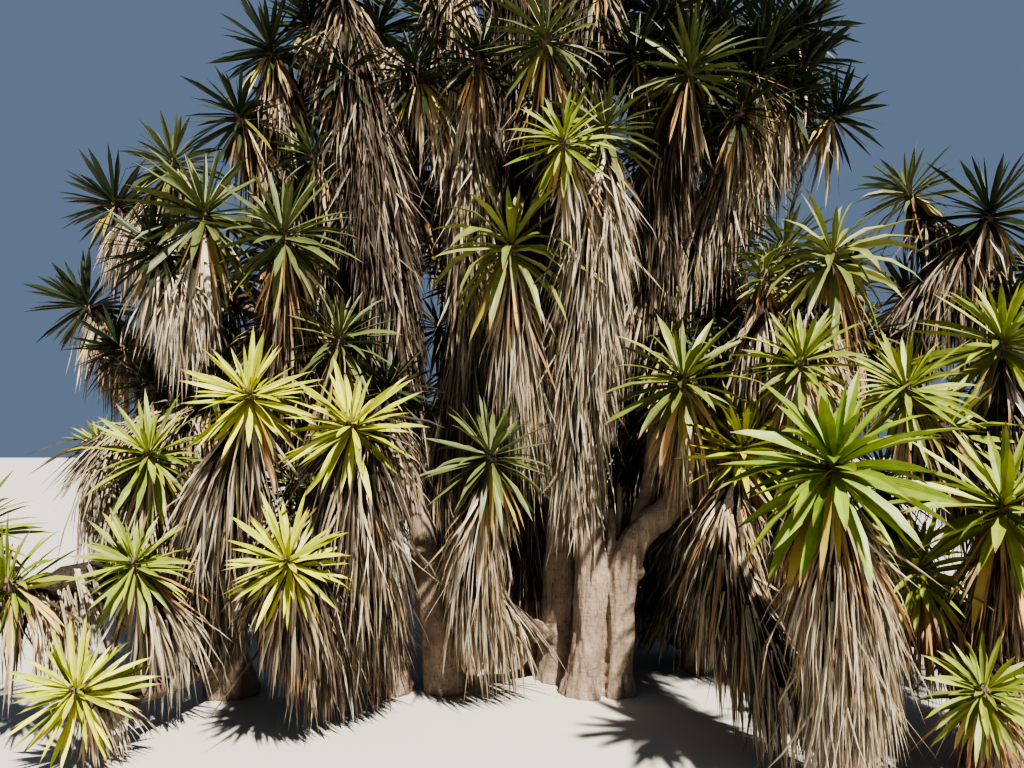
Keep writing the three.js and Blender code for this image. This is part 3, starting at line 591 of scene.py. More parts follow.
# %% The lines of the stems and branches
NECK = 0.17  # length of stem that the green leaves of a head spring from
BRANCH_SAG = 0.06
BRANCH_BEND = 0.6
BRANCH_RISE = 0.7
BRANCH_FORK = np.linspace(0.3, 0.9, 13)
STEM_TOP_RADIUS = 0.042
STEM_RADIUS = 0.075
STEM_SHARE = 0.85
BRANCH_RADIUS = 0.06
BRANCH_SKIRT = (1.0, 0.19)


def head_axis(head):
    return unit(np.array([head[3], head[4], 1.0]))


def neck_of(head):
    return np.array(head[:3]) - head_axis(head) * NECK


def best_fork(stems, neck):
    """The stem, and the share of it, from which a branch climbs to its head at the usual slope."""
    found = []
    for number, stem in enumerate(stems):
        at = stem["line"].at(BRANCH_FORK)
        reach = np.hypot(at[:, 0] - neck[0], at[:, 1] - neck[1])
        miss = np.abs(neck[2] - at[:, 2] - BRANCH_RISE * reach) + reach / 3
        found.append((miss.min(), number, BRANCH_FORK[int(np.argmin(miss))]))
    _, number, share = min(found)
    return stems[number], share


def first_stem(name, mass):
    head, parent, at = mass["heads"][0], mass["parent"], mass["at"]
    limb = lines[parent]
    foot_radius = min(STEM_RADIUS, limb.radii[-1] * STEM_SHARE)
    points = smooth_points([limb.at(at), mass["by"], neck_of(head), head[:3]])
    line = Line(points, (foot_radius, STEM_TOP_RADIUS))
    way = joined(ways[parent], limb.length * (1 - at), line)
    return dict(mass=name, head=head, line=line, way=way, skirt=mass["skirt"], first=True,
                parent=parent, at=at)


def branch(carrier, share, head, skirt):
    start, neck = carrier["line"].at(share), neck_of(head)
    bend = start + (neck - start) * BRANCH_BEND - (0, 0, BRANCH_SAG)
    line = Line(smooth_points([start, bend, neck, head[:3]]), (BRANCH_RADIUS, STEM_TOP_RADIUS))
    way = joined(carrier["way"], carrier["line"].length * (1 - share), line)
    return dict(mass=carrier["mass"], head=head, line=line, way=way, skirt=skirt, first=False)


stems = []
for name, mass in MASSES.items():
    grown = [first_stem(name, mass)]
    for head in mass["heads"][1:]:
        grown.append(branch(*best_fork(grown[:1], neck_of(head)), head, BRANCH_SKIRT))
    for shoot in SHOOTS.get(name, []):
        grown.append(branch(*best_fork(grown, neck_of(shoot)), shoot[:7], shoot[7:]))
    stems.extend(grown)
stems.extend(first_stem(name, low) for name, low in LOW_STEMS)
print(len(stems), "stems and branches")

# %% [markdown]
# ## Shoots on the far side
#
# Behind the crown nothing says where the heads stand, so they follow a rule. Every stem tries to put out
# a few more shoots, each at a share of its length and in a direction that chance picks. A shoot is kept
# where it comes out on the far side, inside the crown's own box and clear of the heads that are there.
# The random numbers start from a fixed seed, so that the plant is the same each time.

# %% Seeded shoots
SEED = 7
FAR_SIDE = 0.45
FAR_SHOOTS = 46
FAR_TRIES = 14
FAR_LOWEST = 1.2
HEADS_APART = 0.5
HEAD_ROOM = 0.34  # from a head to the crown's box
CROWN_MIDDLE = -0.2
CROWN_HALF = 4.2  # half the crown's width, up to the height where it begins to narrow
CROWN_NARROWS = 2.6
CROWN_SLOPE = 0.66
SHOOT_AT = (0.35, 0.95)  # shares of the stem between which a shoot leaves it
SHOOT_OUT = (0.35, 0.85)  # how far out it reaches, and how far up
SHOOT_UP = (0.3, 0.75)
SHOOT_LEAN = (0.1, 0.7)
SHOOT_SIZE = (0.75, 0.95)
SHOOT_SKIRT = (0.6, 1.2)
SHOOT_SKIRT_RADIUS = 0.2
# deep green is partly painted shade: darker than the leaves' own green, as for heads in the crown's shadow
DEEP_SHARE = 0.6  # of these heads are deep green, and the rest are lighter


def far_shoot(rng, stem):
    share = rng.uniform(*SHOOT_AT)
    turn, reach, rise = rng.uniform(0, 2 * math.pi), rng.uniform(*SHOOT_OUT), rng.uniform(*SHOOT_UP)
    out = np.array([math.cos(turn), math.sin(turn)])
    top = stem["line"].at(share) + (*(out * reach), rise)
    lean = out * rng.uniform(*SHOOT_LEAN)
    tint = "deep" if rng.uniform() < DEEP_SHARE else "mid"
    head = (*top, *lean, rng.uniform(*SHOOT_SIZE), tint)
    return share, head, (rng.uniform(*SHOOT_SKIRT), SHOOT_SKIRT_RADIUS)


rng = np.random.default_rng(SEED)
head_places = [stem["head"][:3] for stem in stems]
lowest_head = np.array([cad_low[0] + HEAD_ROOM, FAR_SIDE, FAR_LOWEST])
highest_head = np.array(cad_high) - HEAD_ROOM
first_stems = list(stems)
far_stems = []
for _ in range(FAR_TRIES):
    for stem in first_stems:
        share, head, skirt = far_shoot(rng, stem)
        apart = np.linalg.norm(np.array(head_places) - head[:3], axis=1).min()
        inside = np.all((lowest_head < head[:3]) & (head[:3] < highest_head))
        half = CROWN_HALF - CROWN_SLOPE * max(0, head[2] - CROWN_NARROWS)
        inside = inside and abs(head[0] - CROWN_MIDDLE) < half
        if inside and apart > HEADS_APART and len(far_stems) < FAR_SHOOTS:
            far_stems.append(branch(stem, share, head, skirt))
            head_places.append(head[:3])
stems.extend(far_stems)
stems.append(first_stem(*SUNLIT_STEM))  # comes last, as the seeds go by a stem's place in the list
print(len(far_stems), "shoots on the far side,", len(stems), "heads in all")

# %% [markdown]
# ## Tubes for the wood
#
# A curve with a round bevel is the quickest tube in Blender: every point carries its own radius, so
# taper and swelling are only numbers. Several tubes share one curve, which is then turned into a mesh.
# A trunk widens into its root flare near the ground, and runs on a little below it, to be cut off flat
# later.

# %% Curves with a radius at every point
WELD = 1e-5  # corners nearer than this are one


@contextlib.contextmanager
def edited(mesh):
    """A bmesh to change a mesh by, which is written back with its faces turned outwards."""
    bm = bmesh.new()
    bm.from_mesh(mesh)
    yield bm
    bmesh.ops.recalc_face_normals(bm, faces=bm.faces)
    bm.to_mesh(mesh)
    bm.free()


def tubes(name, runs, bevel_resolution):
    """One mesh object of round tubes. Each run is the tube's points and its radii."""
    curve = bpy.data.curves.new(name, "CURVE")
    curve.dimensions = "3D"
    curve.bevel_depth = 1
    curve.bevel_resolution = bevel_resolution
    curve.use_fill_caps = True
    for points, radii in runs:
        spline = curve.splines.new("POLY")
        spline.points.add(len(points) - 1)
        spline.points.foreach_set("co", np.column_stack([points, np.ones(len(points))]).ravel())
        spline.points.foreach_set("radius", radii)
    maker = placed(name + "_curve", curve)
    piece = placed(name, finished_mesh(maker, name))
    bpy.data.objects.remove(maker)
    join_caps(piece.data)
    return piece


def join_caps(mesh):
    """A curve's end caps have corners of their own, which are joined to the tube's."""
    with edited(mesh) as bm:
        bmesh.ops.remove_doubles(bm, verts=bm.verts, dist=WELD)


def finished_mesh(maker, name):
    """What an object looks like with its bevel or its modifiers, as a mesh of its own."""
    depsgraph = bpy.context.evaluated_depsgraph_get()
    mesh = bpy.data.meshes.new_from_object(maker.evaluated_get(depsgraph))
    mesh.name = name
    return mesh


def apply_modifiers(piece):
    rough = piece.data
    piece.data = finished_mesh(piece, piece.name)
    piece.modifiers.clear()
    bpy.data.meshes.remove(rough)


# %% The run of one limb, and of the collar where a stem leaves it
FLARE_HEIGHT = 0.19
FLARE = 0.42
BELOW_GROUND = 0.06
LIMB_STEP = 0.03
COLLAR_LENGTH = 0.4
COLLAR_SPARE = 1.12  # the collar ends a little wider than the stem that comes out of it
COLLAR_SIDE = 1.25  # how much wider a collar on a limb's side is than its stem
COLLAR_OF_LIMB = 0.8  # the most of the limb's radius that such a collar takes
COLLAR_OF_STEM = 0.8  # and the most of the stem's length
COLLAR_CURVE = 1.5
COLLAR_STEPS = 16


def limb_run(name):
    line = lines[name]
    shares = np.linspace(0, 1, max(8, int(line.length / LIMB_STEP)))
    points, radii = line.at(shares), line.radius(shares)
    if "foot" in LIMBS[name]:
        radii = radii * (1 + FLARE * np.exp(-shares * line.length / FLARE_HEIGHT))
        points = np.vstack([points[0] - (0, 0, BELOW_GROUND), points])
        radii = np.concatenate([radii[:1], radii])
    return points, radii


def collar_run(stem):
    """The first stretch of a stem, which narrows from the girth of the limb that it grows out of."""
    line = stem["line"]
    wide = lines[stem["parent"]].radius(stem["at"])
    if stem["at"] < 1:
        wide = min(COLLAR_OF_LIMB * wide, COLLAR_SIDE * line.radius(0))
    shares = np.linspace(0, min(COLLAR_OF_STEM, COLLAR_LENGTH / line.length), COLLAR_STEPS)
    narrow = line.radius(shares) * COLLAR_SPARE
    left = (1 - shares / shares[-1]) ** COLLAR_CURVE
    return line.at(shares), narrow + (np.maximum(wide, narrow) - narrow) * left


print("the left stem is", round(2 * limb_run("left")[1][0], 2), "m across at the ground")

# %% [markdown]
# ## The bark
#
# Where limbs of one root meet, their wood grows together, with no seam. A voxel remesh does the same:
# it turns all tubes of a group into one even skin, and a few rounds of smoothing soften the creases.
# Then the relief is pushed out along the normals with noise. Its long folds are stretched upwards,
# because the wood swells in strands, and the leaf scars are shallow rings across them. Last, the part
# below the ground is sliced off and the cut is closed.

# %% Which limbs grow together
BARK_GROUPS = {  # the limbs, and the size of the voxels
    "bark_main": (["left", "right", "bough_right_arm"], 0.013),
    "bark_centre": (["trunk_middle", "bough_centre_high", "bough_right_high"], 0.02),
    "bark_back": (["trunk_back", "bough_back_high", "bough_back_low"], 0.027),
    "bark_left": (
        ["trunk_left", "bough_left_column", "bough_upper_left", "trunk_leaning", "bough_pale",
         "bough_back_left", "trunk_low_left", "bough_left_middle"],
        0.026,
    ),
    "bark_far_left": (["trunk_far_left", "bough_west"], 0.023),
    "bark_right": (["trunk_right", "bough_back_right", "bough_right_up", "bough_far_right"], 0.023),
    "bark_front_right": (["trunk_front_right"], 0.018),
    "bark_far_right": (["trunk_far_right"], 0.018),
}
STUBS = {  # what is left of lost limbs, and a thin one that still climbs behind the right arm
    "bark_main": [
        ([(0.1, 0.03, 1), (0.09, 0.05, 1.2), (0.085, 0.06, 1.44)], [0.045, 0.034, 0.03]),
        ([(0.14, 0.1, 0.95), (0.16, 0.12, 1.2), (0.175, 0.14, 1.6)], [0.03, 0.026, 0.022]),
        ([(0.2, -0.02, 0.88), (0.28, -0.05, 0.93), (0.335, -0.07, 0.97)], [0.05, 0.04, 0.032]),
        ([(0.29, 0, 1.2), (0.38, 0.1, 1.5), (0.45, 0.22, 1.85), (0.5, 0.3, 2.2)],
         [0.085, 0.07, 0.06, 0.055]),
    ],
}
BULGE_DEPTH = 0.02
BULGE_SCALE = 3.1
FOLD_DEPTH = 0.02
FOLD_SCALE = (10, 10, 1.5)
GRAIN_DEPTH = 0.005
GRAIN_SCALE = (34, 34, 5)
LOBES = (0.45, 1.35)  # how strong bulges and folds are high up, and at the ground
LOBES_FALL = 0.28  # how much weaker with each metre
SCAR_DEPTH = 0.0006
SCAR_SPACING = 0.045
PRESSED = {"bark_main": ("left", "right")}  # two stems that have grown against each other
CREASE_DEPTH = 0.055
CREASE_WIDTH = 0.014
CREASE_TOP = 0.8
CREASE_FADE = 0.2  # metres below its top over which it deepens


def stretched(co, scale):
    return Vector([value * factor for value, factor in zip(co, scale)])


def relief(co, lobes):
    """How far the bark stands out at a point: broad bulges, upright folds and leaf scars."""
    bulge = noise.noise(co * BULGE_SCALE) * BULGE_DEPTH
    fold = noise.fractal(stretched(co, FOLD_SCALE), 0.9, 2.1, 3) * FOLD_DEPTH
    grain = noise.fractal(stretched(co, GRAIN_SCALE), 0.8, 2.1, 3) * GRAIN_DEPTH
    wander = noise.noise(co * 6) * 0.9
    scar = math.sin(2 * math.pi * co.z / SCAR_SPACING + wander * 4) * SCAR_DEPTH
    return (bulge + fold) * lobes + grain + scar


def crease(co, first, second):
    """How near each point is to the seam between two stems, from 0 to 1."""
    clear = []
    for name in (first, second):
        line = lines[name]
        shares = np.linspace(0, 1, 60)
        apart = np.linalg.norm(co[:, None] - line.at(shares)[None], axis=2) - line.radius(shares)[None]
        clear.append(apart.min(axis=1))
    seam = np.exp(-(((clear[0] - clear[1]) / CREASE_WIDTH) ** 2))
    return seam * np.clip((CREASE_TOP - co[:, 2]) / CREASE_FADE, 0, 1)


def raise_relief(mesh, pressed):
    count = len(mesh.vertices)
    co, normals = np.empty(count * 3), np.empty(count * 3)
    mesh.vertices.foreach_get("co", co)
    mesh.vertices.foreach_get("normal", normals)
    co, normals = co.reshape(-1, 3), normals.reshape(-1, 3)
    strength = np.clip(LOBES[1] - co[:, 2] * LOBES_FALL, *LOBES)
    lift = np.array([relief(Vector(p), s) for p, s in zip(co, strength)])
    if pressed:
        lift -= crease(co, *pressed) * CREASE_DEPTH
    mesh.vertices.foreach_set("co", (co + normals * lift[:, None]).ravel())
    mesh.update()


def cut_at_ground(mesh):
    with edited(mesh) as bm:
        geometry = bm.verts[:] + bm.edges[:] + bm.faces[:]
        bmesh.ops.bisect_plane(bm, geom=geometry, dist=WELD, plane_co=(0, 0, 0), plane_no=(0, 0, -1),
                               clear_outer=True)
        rim = [edge for edge in bm.edges if edge.is_boundary]
        bmesh.ops.holes_fill(bm, edges=rim, sides=0)


# %% Fuse, smooth, fold and cut each group
def bark_skin(name, limbs, voxel):
    collars = [collar_run(stem) for stem in stems if stem["first"] and stem["parent"] in limbs]
    runs = [limb_run(limb) for limb in limbs] + collars + STUBS.get(name, [])
    skin = tubes(name, runs, bevel_resolution=8)
    fuse = skin.modifiers.new("fuse", "REMESH")
    fuse.mode = "VOXEL"
    fuse.voxel_size = voxel
    soften = skin.modifiers.new("soften", "SMOOTH")
    soften.factor = 0.6
    soften.iterations = 3
    apply_modifiers(skin)
    raise_relief(skin.data, PRESSED.get(name))
    cut_at_ground(skin.data)
    skin.data.shade_smooth()
    return skin


bark = {name: bark_skin(name, *group) for name, group in BARK_GROUPS.items()}
for name, skin in bark.items():
    print(name, len(skin.data.polygons), "faces, lowest", round(min(v.co.z for v in skin.data.vertices), 4))

# %% [markdown]
# ## The stems inside the skirts
#
# Under the dead leaves a stem is ringed by the scars of the leaves it has lost. The radius of the tube
# swells and shrinks from point to point, which gives the rings without any modelling by hand. Its bark
# is painted darker than the trunks', as the shade under the skirts.

# %% All stems as one piece
STEM_STEP = 0.07
STEM_RING = 0.06  # how much of the radius a scar stands out by
STEM_TIP = 0.35  # of the radius, at the very end


def stem_run(stem):
    line = stem["line"]
    count = max(6, int(line.length / STEM_STEP))
    shares = np.linspace(0, 1, count)
    radii = line.radius(shares) * (1 + STEM_RING * (np.arange(count) % 2))
    radii[-1] *= STEM_TIP
    return line.at(shares), radii


# the stems take a bark darkened as painted shade, for the shadow under the skirts
wood = tubes("stems", [stem_run(stem) for stem in stems], bevel_resolution=1)
wood.data.shade_smooth()
print("stems", len(wood.data.polygons), "faces")

# %% [markdown]
# ## Last year's flower stalk
#
# One head on the right has kept the stalk of its old flowers, dry and leafless, with short side twigs
# that stand away from it in a spiral. The twigs are thin tubes in the same curve as the stalk.

# %% The stalk and its twigs
STALK = smooth_points([(1.62, 0.3, 3.6), (1.68, 0.3, 3.95), (1.8, 0.29, 4.32)])
STALK_RADII = (0.022, 0.009)
STALK_TWIGS = 16
TWIG_RADII = (0.007, 0.004)
TWIGS_FROM = 0.35  # shares of the stalk between which the twigs leave it
TWIGS_TO = 0.97
TWIG_TURN = 2.4
TWIG_SHORTEST = 0.02
TWIG_GAINS = 0.09  # how much longer the lowest would be, at the stalk's foot
TWIG_RISE = 1.1

stalk = Line(STALK, STALK_RADII)
shares = np.linspace(0, 1, 14)
runs = [(stalk.at(shares), stalk.radius(shares))]
for i, share in enumerate(np.linspace(TWIGS_FROM, TWIGS_TO, STALK_TWIGS)):
    turn = i * TWIG_TURN
    reach = TWIG_SHORTEST + TWIG_GAINS * (1 - share)
    base = stalk.at(share)
    tip = base + (math.cos(turn) * reach, math.sin(turn) * reach, reach * TWIG_RISE)
    runs.append((np.array([base, tip]), TWIG_RADII))
flower_stalk = tubes("flower_stalk", runs, bevel_resolution=1)
flower_stalk.data.shade_smooth()
print("flower stalk", len(flower_stalk.data.polygons), "faces")

# %% [markdown]
# ## The shape of a skirt
#
# A skirt starts narrow under its head, swells over the first half metre and narrows again towards its
# hem. Below the hem a thin sleeve of the oldest leaves still clings to many boughs, and goes on down to
# where the bark has been rubbed bare. Both the matted and the loose leaves are set out by this one shape.

# %% How far down old leaves go, and how far they stand out there
SKIRT_TOP = (0, 0.15, 0.4, 0.75)  # metres below the neck ...
SKIRT_SHAPE = (0.28, 0.52, 0.84, 1)  # ... and the share of the skirt's radius there
HEM_FROM = 0.45  # of the skirt's length
HEM_SHARE = 0.62  # of the radius, at the hem
SLEEVE_RADIUS = 0.17
SLEEVE_WIDENS = 0.3  # metres over which a wide sleeve comes out below the hem
WIDE_SLEEVES = {
    "heads_behind_right": 0.46, "heads_right_upper": 0.36, "heads_back_low": 0.3, "heads_summit": 0.3,
}
BARE_FOOT = 0.12
BARE_BELOW = {  # the height down to which old leaves cling, where that is below the skirt
    "heads_west_high": 0.75, "heads_upper_left": 2.2, "heads_left_column": 1.35, "head_shaded": 0.9,
    "heads_pale_column": 0.9, "heads_centre_top": 1.6, "heads_right_crown": 1.6, "heads_summit": 0.35,
    "heads_back_low": 0.35, "heads_back_left": 0.35, "heads_back_right": 0.2, "heads_right_upper": 0.3,
    "heads_far_right": 1.2, "heads_behind_right": 0.06, "head_right_leaning": 0.15,
    "head_front_centre": 0.4, "heads_right_bright": 0.2, "heads_east_crown": 1.8,
    "head_front_low": 0.35, "head_centre_left": 0.2, "heads_left_bright": 0.3,
}


def skirt_reach(stem):
    """The neck's place on the stem's way from the ground, the skirt's length, and that of all thatch."""
    way = stem["way"]
    neck = way.length - NECK
    length = min(stem["skirt"][0], neck - BARE_FOOT)
    lowest = BARE_BELOW.get(stem["mass"]) if stem["first"] else None
    if lowest is None:
        return neck, length, length
    bare = way.reach[np.argmax(way.points[:, 2] > lowest)]
    return neck, length, max(length, neck - bare)


def skirt_radius(stem, length, below):
    """The radius of the skirt at some distances below the neck."""
    radius = stem["skirt"][1]
    swell = np.interp(below, SKIRT_TOP, SKIRT_SHAPE)
    hem = np.interp(below / length, (HEM_FROM, 1, 1.1), (1, HEM_SHARE, 0))
    wide = WIDE_SLEEVES.get(stem["mass"], SLEEVE_RADIUS)
    sleeve = np.interp(below, (length, length + SLEEVE_WIDENS), (SLEEVE_RADIUS, wide))
    return np.maximum(radius * swell * hem, np.where(below > length, sleeve, 0))


# %% [markdown]
# ## The matted thatch
#
# The oldest dead leaves are pressed to a felt against the stem, and only the outer ones still hang free.
# The felt is a plain swollen tube round each stem, pushed into upright strands with noise. It keeps the
# skirts from being see-through, so that the loose leaves over it can be few enough to count. Its colour
# is partly painted shade: the matted leaves are coloured darker than they are, as the shadow between
# the strands, and its cracks are near black.

# %% One felt round every stem
FELT_STEP = 0.11
FELT_SHARE = 0.55  # of the skirt's radius
FELT_OVER_STEM = 1.12  # times the stem's radius, at the least
FELT_HEM = 0.7  # of the radius, at the lower end
FELT_STRANDS = 0.06
FELT_SCALE = (17, 17, 2.2)
FELT_KNOTS = 9
FELT_FROM_NECK = 0.05
FELT_FROM_HEM = 0.2
FELT_SHORTEST = 0.25
FELT_LOWEST = 0.01


def felt_run(stem):
    way = stem["way"]
    neck, length, whole = skirt_reach(stem)
    below = np.arange(FELT_FROM_NECK, max(whole - FELT_FROM_HEM, FELT_SHORTEST), FELT_STEP)
    shares = (neck - below) / way.length
    radii = np.maximum(skirt_radius(stem, length, below) * FELT_SHARE, way.radius(shares) * FELT_OVER_STEM)
    radii[-1] *= FELT_HEM
    return way.at(shares), radii


# the felt's dark colour, set in the bark colours below, is partly painted shade between the strands
felt = tubes("matted_thatch", [felt_run(stem) for stem in stems], bevel_resolution=2)
for vertex in felt.data.vertices:
    co = vertex.co
    strand = noise.noise(stretched(co, FELT_SCALE)) * FELT_STRANDS
    knot = noise.noise(co * FELT_KNOTS) * FELT_STRANDS * 0.5
    vertex.co = co + vertex.normal * (strand + knot)
    vertex.co.z = max(vertex.co.z, FELT_LOWEST)
felt.data.shade_smooth()
print("felt", len(felt.data.polygons), "faces")

# %% [markdown]
# ## One blade, modelled once
#
# A sword leaf is a long point with a channel down its face and a keel under it. A cone with four sides
# has exactly that topology: two edges, one channel and one keel, running to one tip. It is cut across
# at a few stations with bisect_plane. Every copy then moves these stations onto its own bent midrib and
# gives them its own width. Leaves in the shade of the crown take a plainer blade with three sides, and so
# do dry leaves, which are rolled up. Those behind are cut only once.

# %% Cut a cone into a blade
def blade(name, sides, stations, widths, fold, depth):
    """The pattern of a leaf: for each corner its station, its place across and up, and the faces."""
    bm = bmesh.new()
    bmesh.ops.create_cone(bm, cap_ends=True, segments=sides, radius1=1, radius2=0, depth=1)
    for station in stations[1:-1]:
        geometry = bm.verts[:] + bm.edges[:] + bm.faces[:]
        bmesh.ops.bisect_plane(bm, geom=geometry, plane_co=(0, 0, station - 0.5), plane_no=(0, 0, 1))
    bmesh.ops.remove_doubles(bm, verts=bm.verts, dist=WELD)
    bm.verts.index_update()
    corners = np.array([vertex.co[:] for vertex in bm.verts])
    place = np.argmin(np.abs(corners[:, 2:] + 0.5 - np.array(stations)[None, :]), axis=1)
    angle = np.arctan2(corners[:, 0], corners[:, 1] if sides == 4 else -corners[:, 1])
    at_tip = place == len(stations) - 1
    if sides == 4:
        across = np.where(at_tip, 0, np.round(np.sin(angle)))
        up = np.where(np.abs(across) > 0.5, fold, np.sign(np.round(np.cos(angle))) * depth)
    else:
        across = np.where(at_tip, 0, -np.sign(np.round(np.sin(angle))))  # a half turn, not a mirror
        up = np.where(np.abs(across) > 0.5, fold, -depth)
    up = np.where(at_tip, 0, up)
    faces = [[vertex.index for vertex in face.verts] for face in bm.faces]
    bm.free()
    return dict(name=name, stations=np.array(stations), widths=np.array(widths), place=place,
                across=across, up=up, faces=faces)


near_blade = blade(
    "near blade", 4, stations=(0, 0.1, 0.3, 0.58, 0.83, 1), widths=(0.55, 0.48, 0.86, 1, 0.56, 0),
    fold=0.38, depth=0.10,
)
mid_blade = blade(
    "middle blade", 4, stations=(0, 0.14, 0.5, 0.8, 1), widths=(0.55, 0.52, 1, 0.62, 0),
    fold=0.38, depth=0.10,
)
far_blade = blade(
    "far blade", 3, stations=(0, 0.3, 0.7, 1), widths=(0.5, 0.9, 0.86, 0), fold=0.1, depth=0.25,
)
dry_blade = blade(
    "dry blade", 3, stations=(0, 0.28, 0.7, 1), widths=(0.8, 1, 0.66, 0), fold=0.25, depth=0.4,
)
old_blade = blade("old blade", 3, stations=(0, 0.55, 1), widths=(0.8, 1, 0), fold=0.25, depth=0.4)
for pattern in (near_blade, mid_blade, far_blade, dry_blade, old_blade):
    triangles = sum(len(face) - 2 for face in pattern["faces"])
    print(pattern["name"], len(pattern["across"]), "corners", triangles, "triangles")

# %% [markdown]
# ## Many blades at once
#
# Thousands of leaves are worked out together as arrays: a row for each leaf and a column for each
# station. At every station a leaf has three directions, along it, across it and up from its face, and
# the pattern's corners are set out in them. All leaves of one kind end up in one mesh, with a UV map
# that runs across and along each leaf, and a number of its own for each leaf, named chance.

# %% Set out the corners of many leaves
def set_out(pattern, spines, sides, half_widths):
    """spines is leaves x stations x 3, sides the direction across each leaf at its root."""
    along = unit(np.gradient(spines, axis=1))
    side = unit(sides[:, None, :] - along * np.sum(sides[:, None, :] * along, axis=2, keepdims=True))
    up = np.cross(along, side)
    place = pattern["place"]
    width = (half_widths[:, None] * pattern["widths"])[:, place, None]
    return (spines[:, place] + side[:, place] * width * pattern["across"][None, :, None]
            + up[:, place] * width * pattern["up"][None, :, None])


def joined_leaves(name, pattern, corners, chances):
    """One mesh of all leaves of a kind."""
    count, each = corners.shape[:2]
    loops = np.concatenate(pattern["faces"])
    starts = np.concatenate([[0], np.cumsum([len(face) for face in pattern["faces"]])[:-1]])
    mesh = bpy.data.meshes.new(name)
    mesh.vertices.add(count * each)
    mesh.vertices.foreach_set("co", corners.ravel())
    mesh.loops.add(count * len(loops))
    leaf = np.arange(count)[:, None]
    mesh.loops.foreach_set("vertex_index", (loops + leaf * each).ravel())
    mesh.polygons.add(count * len(starts))
    mesh.polygons.foreach_set("loop_start", (starts + leaf * len(loops)).ravel())
    mesh.update(calc_edges=True)
    uv = np.stack([pattern["across"] / 2 + 0.5, pattern["stations"][pattern["place"]]], axis=1)[loops]
    mesh.uv_layers.new(name="blade").data.foreach_set("uv", np.tile(uv, (count, 1)).ravel())
    chance = mesh.attributes.new("chance", "FLOAT", "POINT")
    chance.data.foreach_set("value", np.repeat(chances, each))
    mesh.shade_smooth()
    mesh.set_sharp_from_angle(angle=math.radians(28))
    return placed(name, mesh)


# %% Heaps of leaves, one for each kind
heaps = {}


def heap(kind, pattern, corners, chances, node):
    pile = heaps.setdefault(kind, dict(pattern=pattern, corners=[], chances=[], nodes=set()))
    if len(corners):
        pile["corners"].append(corners)
        pile["chances"].append(chances)
        pile["nodes"].add(node)


# %% [markdown]
# ## A head of green leaves
#
# The leaves of a head stand round its neck in a spiral, each turned from the last by the golden angle,
# so that none hides another. The youngest stand up in the middle and the oldest have sunk well below
# the level. Each leaf leaves the neck in its own direction and then bends under its weight: the midrib
# is worked out station by station, turning towards the ground as it goes.

# %% The midribs of one head
GOLDEN_ANGLE = math.pi * (3 - math.sqrt(5))
LEAF_LENGTH = 0.54
LEAF_LENGTHS = (0.74, 1.08)  # shares of it that chance picks from, as for all pairs like this
LEAF_SAGS = (0.2, 2.2)
LEAF_WIDTHS = (0.85, 1.12)
YOUNG_LENGTH = 0.62  # of the youngest leaf, which is still growing
YOUNG_WIDTH = 0.6
TOP_ROOT = 0.01  # metres from the end of the stem to the youngest leaf
LEAF_SPREAD = (math.radians(112), math.radians(136))
LEAF_SCATTER = 0.13
LEAF_ROLL = 0.45
REACH_SPARE = 0.02
REACH_TRIES = 12
REACH_LESS = 0.88  # what a leaf that reaches too far keeps of its length at each try
LOWEST = 0.03


def square_to(axis):
    reference = (1.0, 0, 0) if abs(axis[0]) < 0.9 else (0, 1.0, 0)
    first = unit(np.cross(axis, reference))
    return first, np.cross(axis, first)


def bent_midribs(roots, directions, lengths, sags, stations):
    """Midribs that leave the neck in their own directions and turn towards the ground."""
    spines = np.empty((len(roots), len(stations), 3))
    spines[:, 0] = roots
    for k in range(1, len(stations)):
        middle = (stations[k] + stations[k - 1]) / 2
        heading = directions - np.outer(sags * middle**1.3, (0, 0, 1))
        step = lengths * (stations[k] - stations[k - 1])
        spines[:, k] = spines[:, k - 1] + unit(heading) * step[:, None]
    return spines


def around(axis, tilt, turn):
    """Directions at these tilts from an axis and turns round it, and the same turns square to it."""
    first, second = square_to(axis)
    outward = np.outer(np.cos(turn), first) + np.outer(np.sin(turn), second)
    return np.outer(np.cos(tilt), axis) + outward * np.sin(tilt)[:, None], outward


def within_reach(roots, directions, lengths, sags, stations):
    """Midribs and lengths, with the leaves shortened that would leave the plant's box or touch ground."""
    low = np.array(cad_low) - REACH_SPARE
    high = np.array(cad_high) + REACH_SPARE
    low[2] = LOWEST
    for _ in range(REACH_TRIES):
        spines = bent_midribs(roots, directions, lengths, sags, stations)
        outside = np.any((spines < low) | (spines > high), axis=(1, 2))
        if not outside.any():
            break
        lengths = np.where(outside, lengths * REACH_LESS, lengths)
    return spines, lengths


# %% A whole head
def turned(sides, directions, rolls):
    """The directions across the leaves, rolled about their midribs."""
    up = np.cross(directions, sides)
    return sides * np.cos(rolls)[:, None] + up * np.sin(rolls)[:, None]


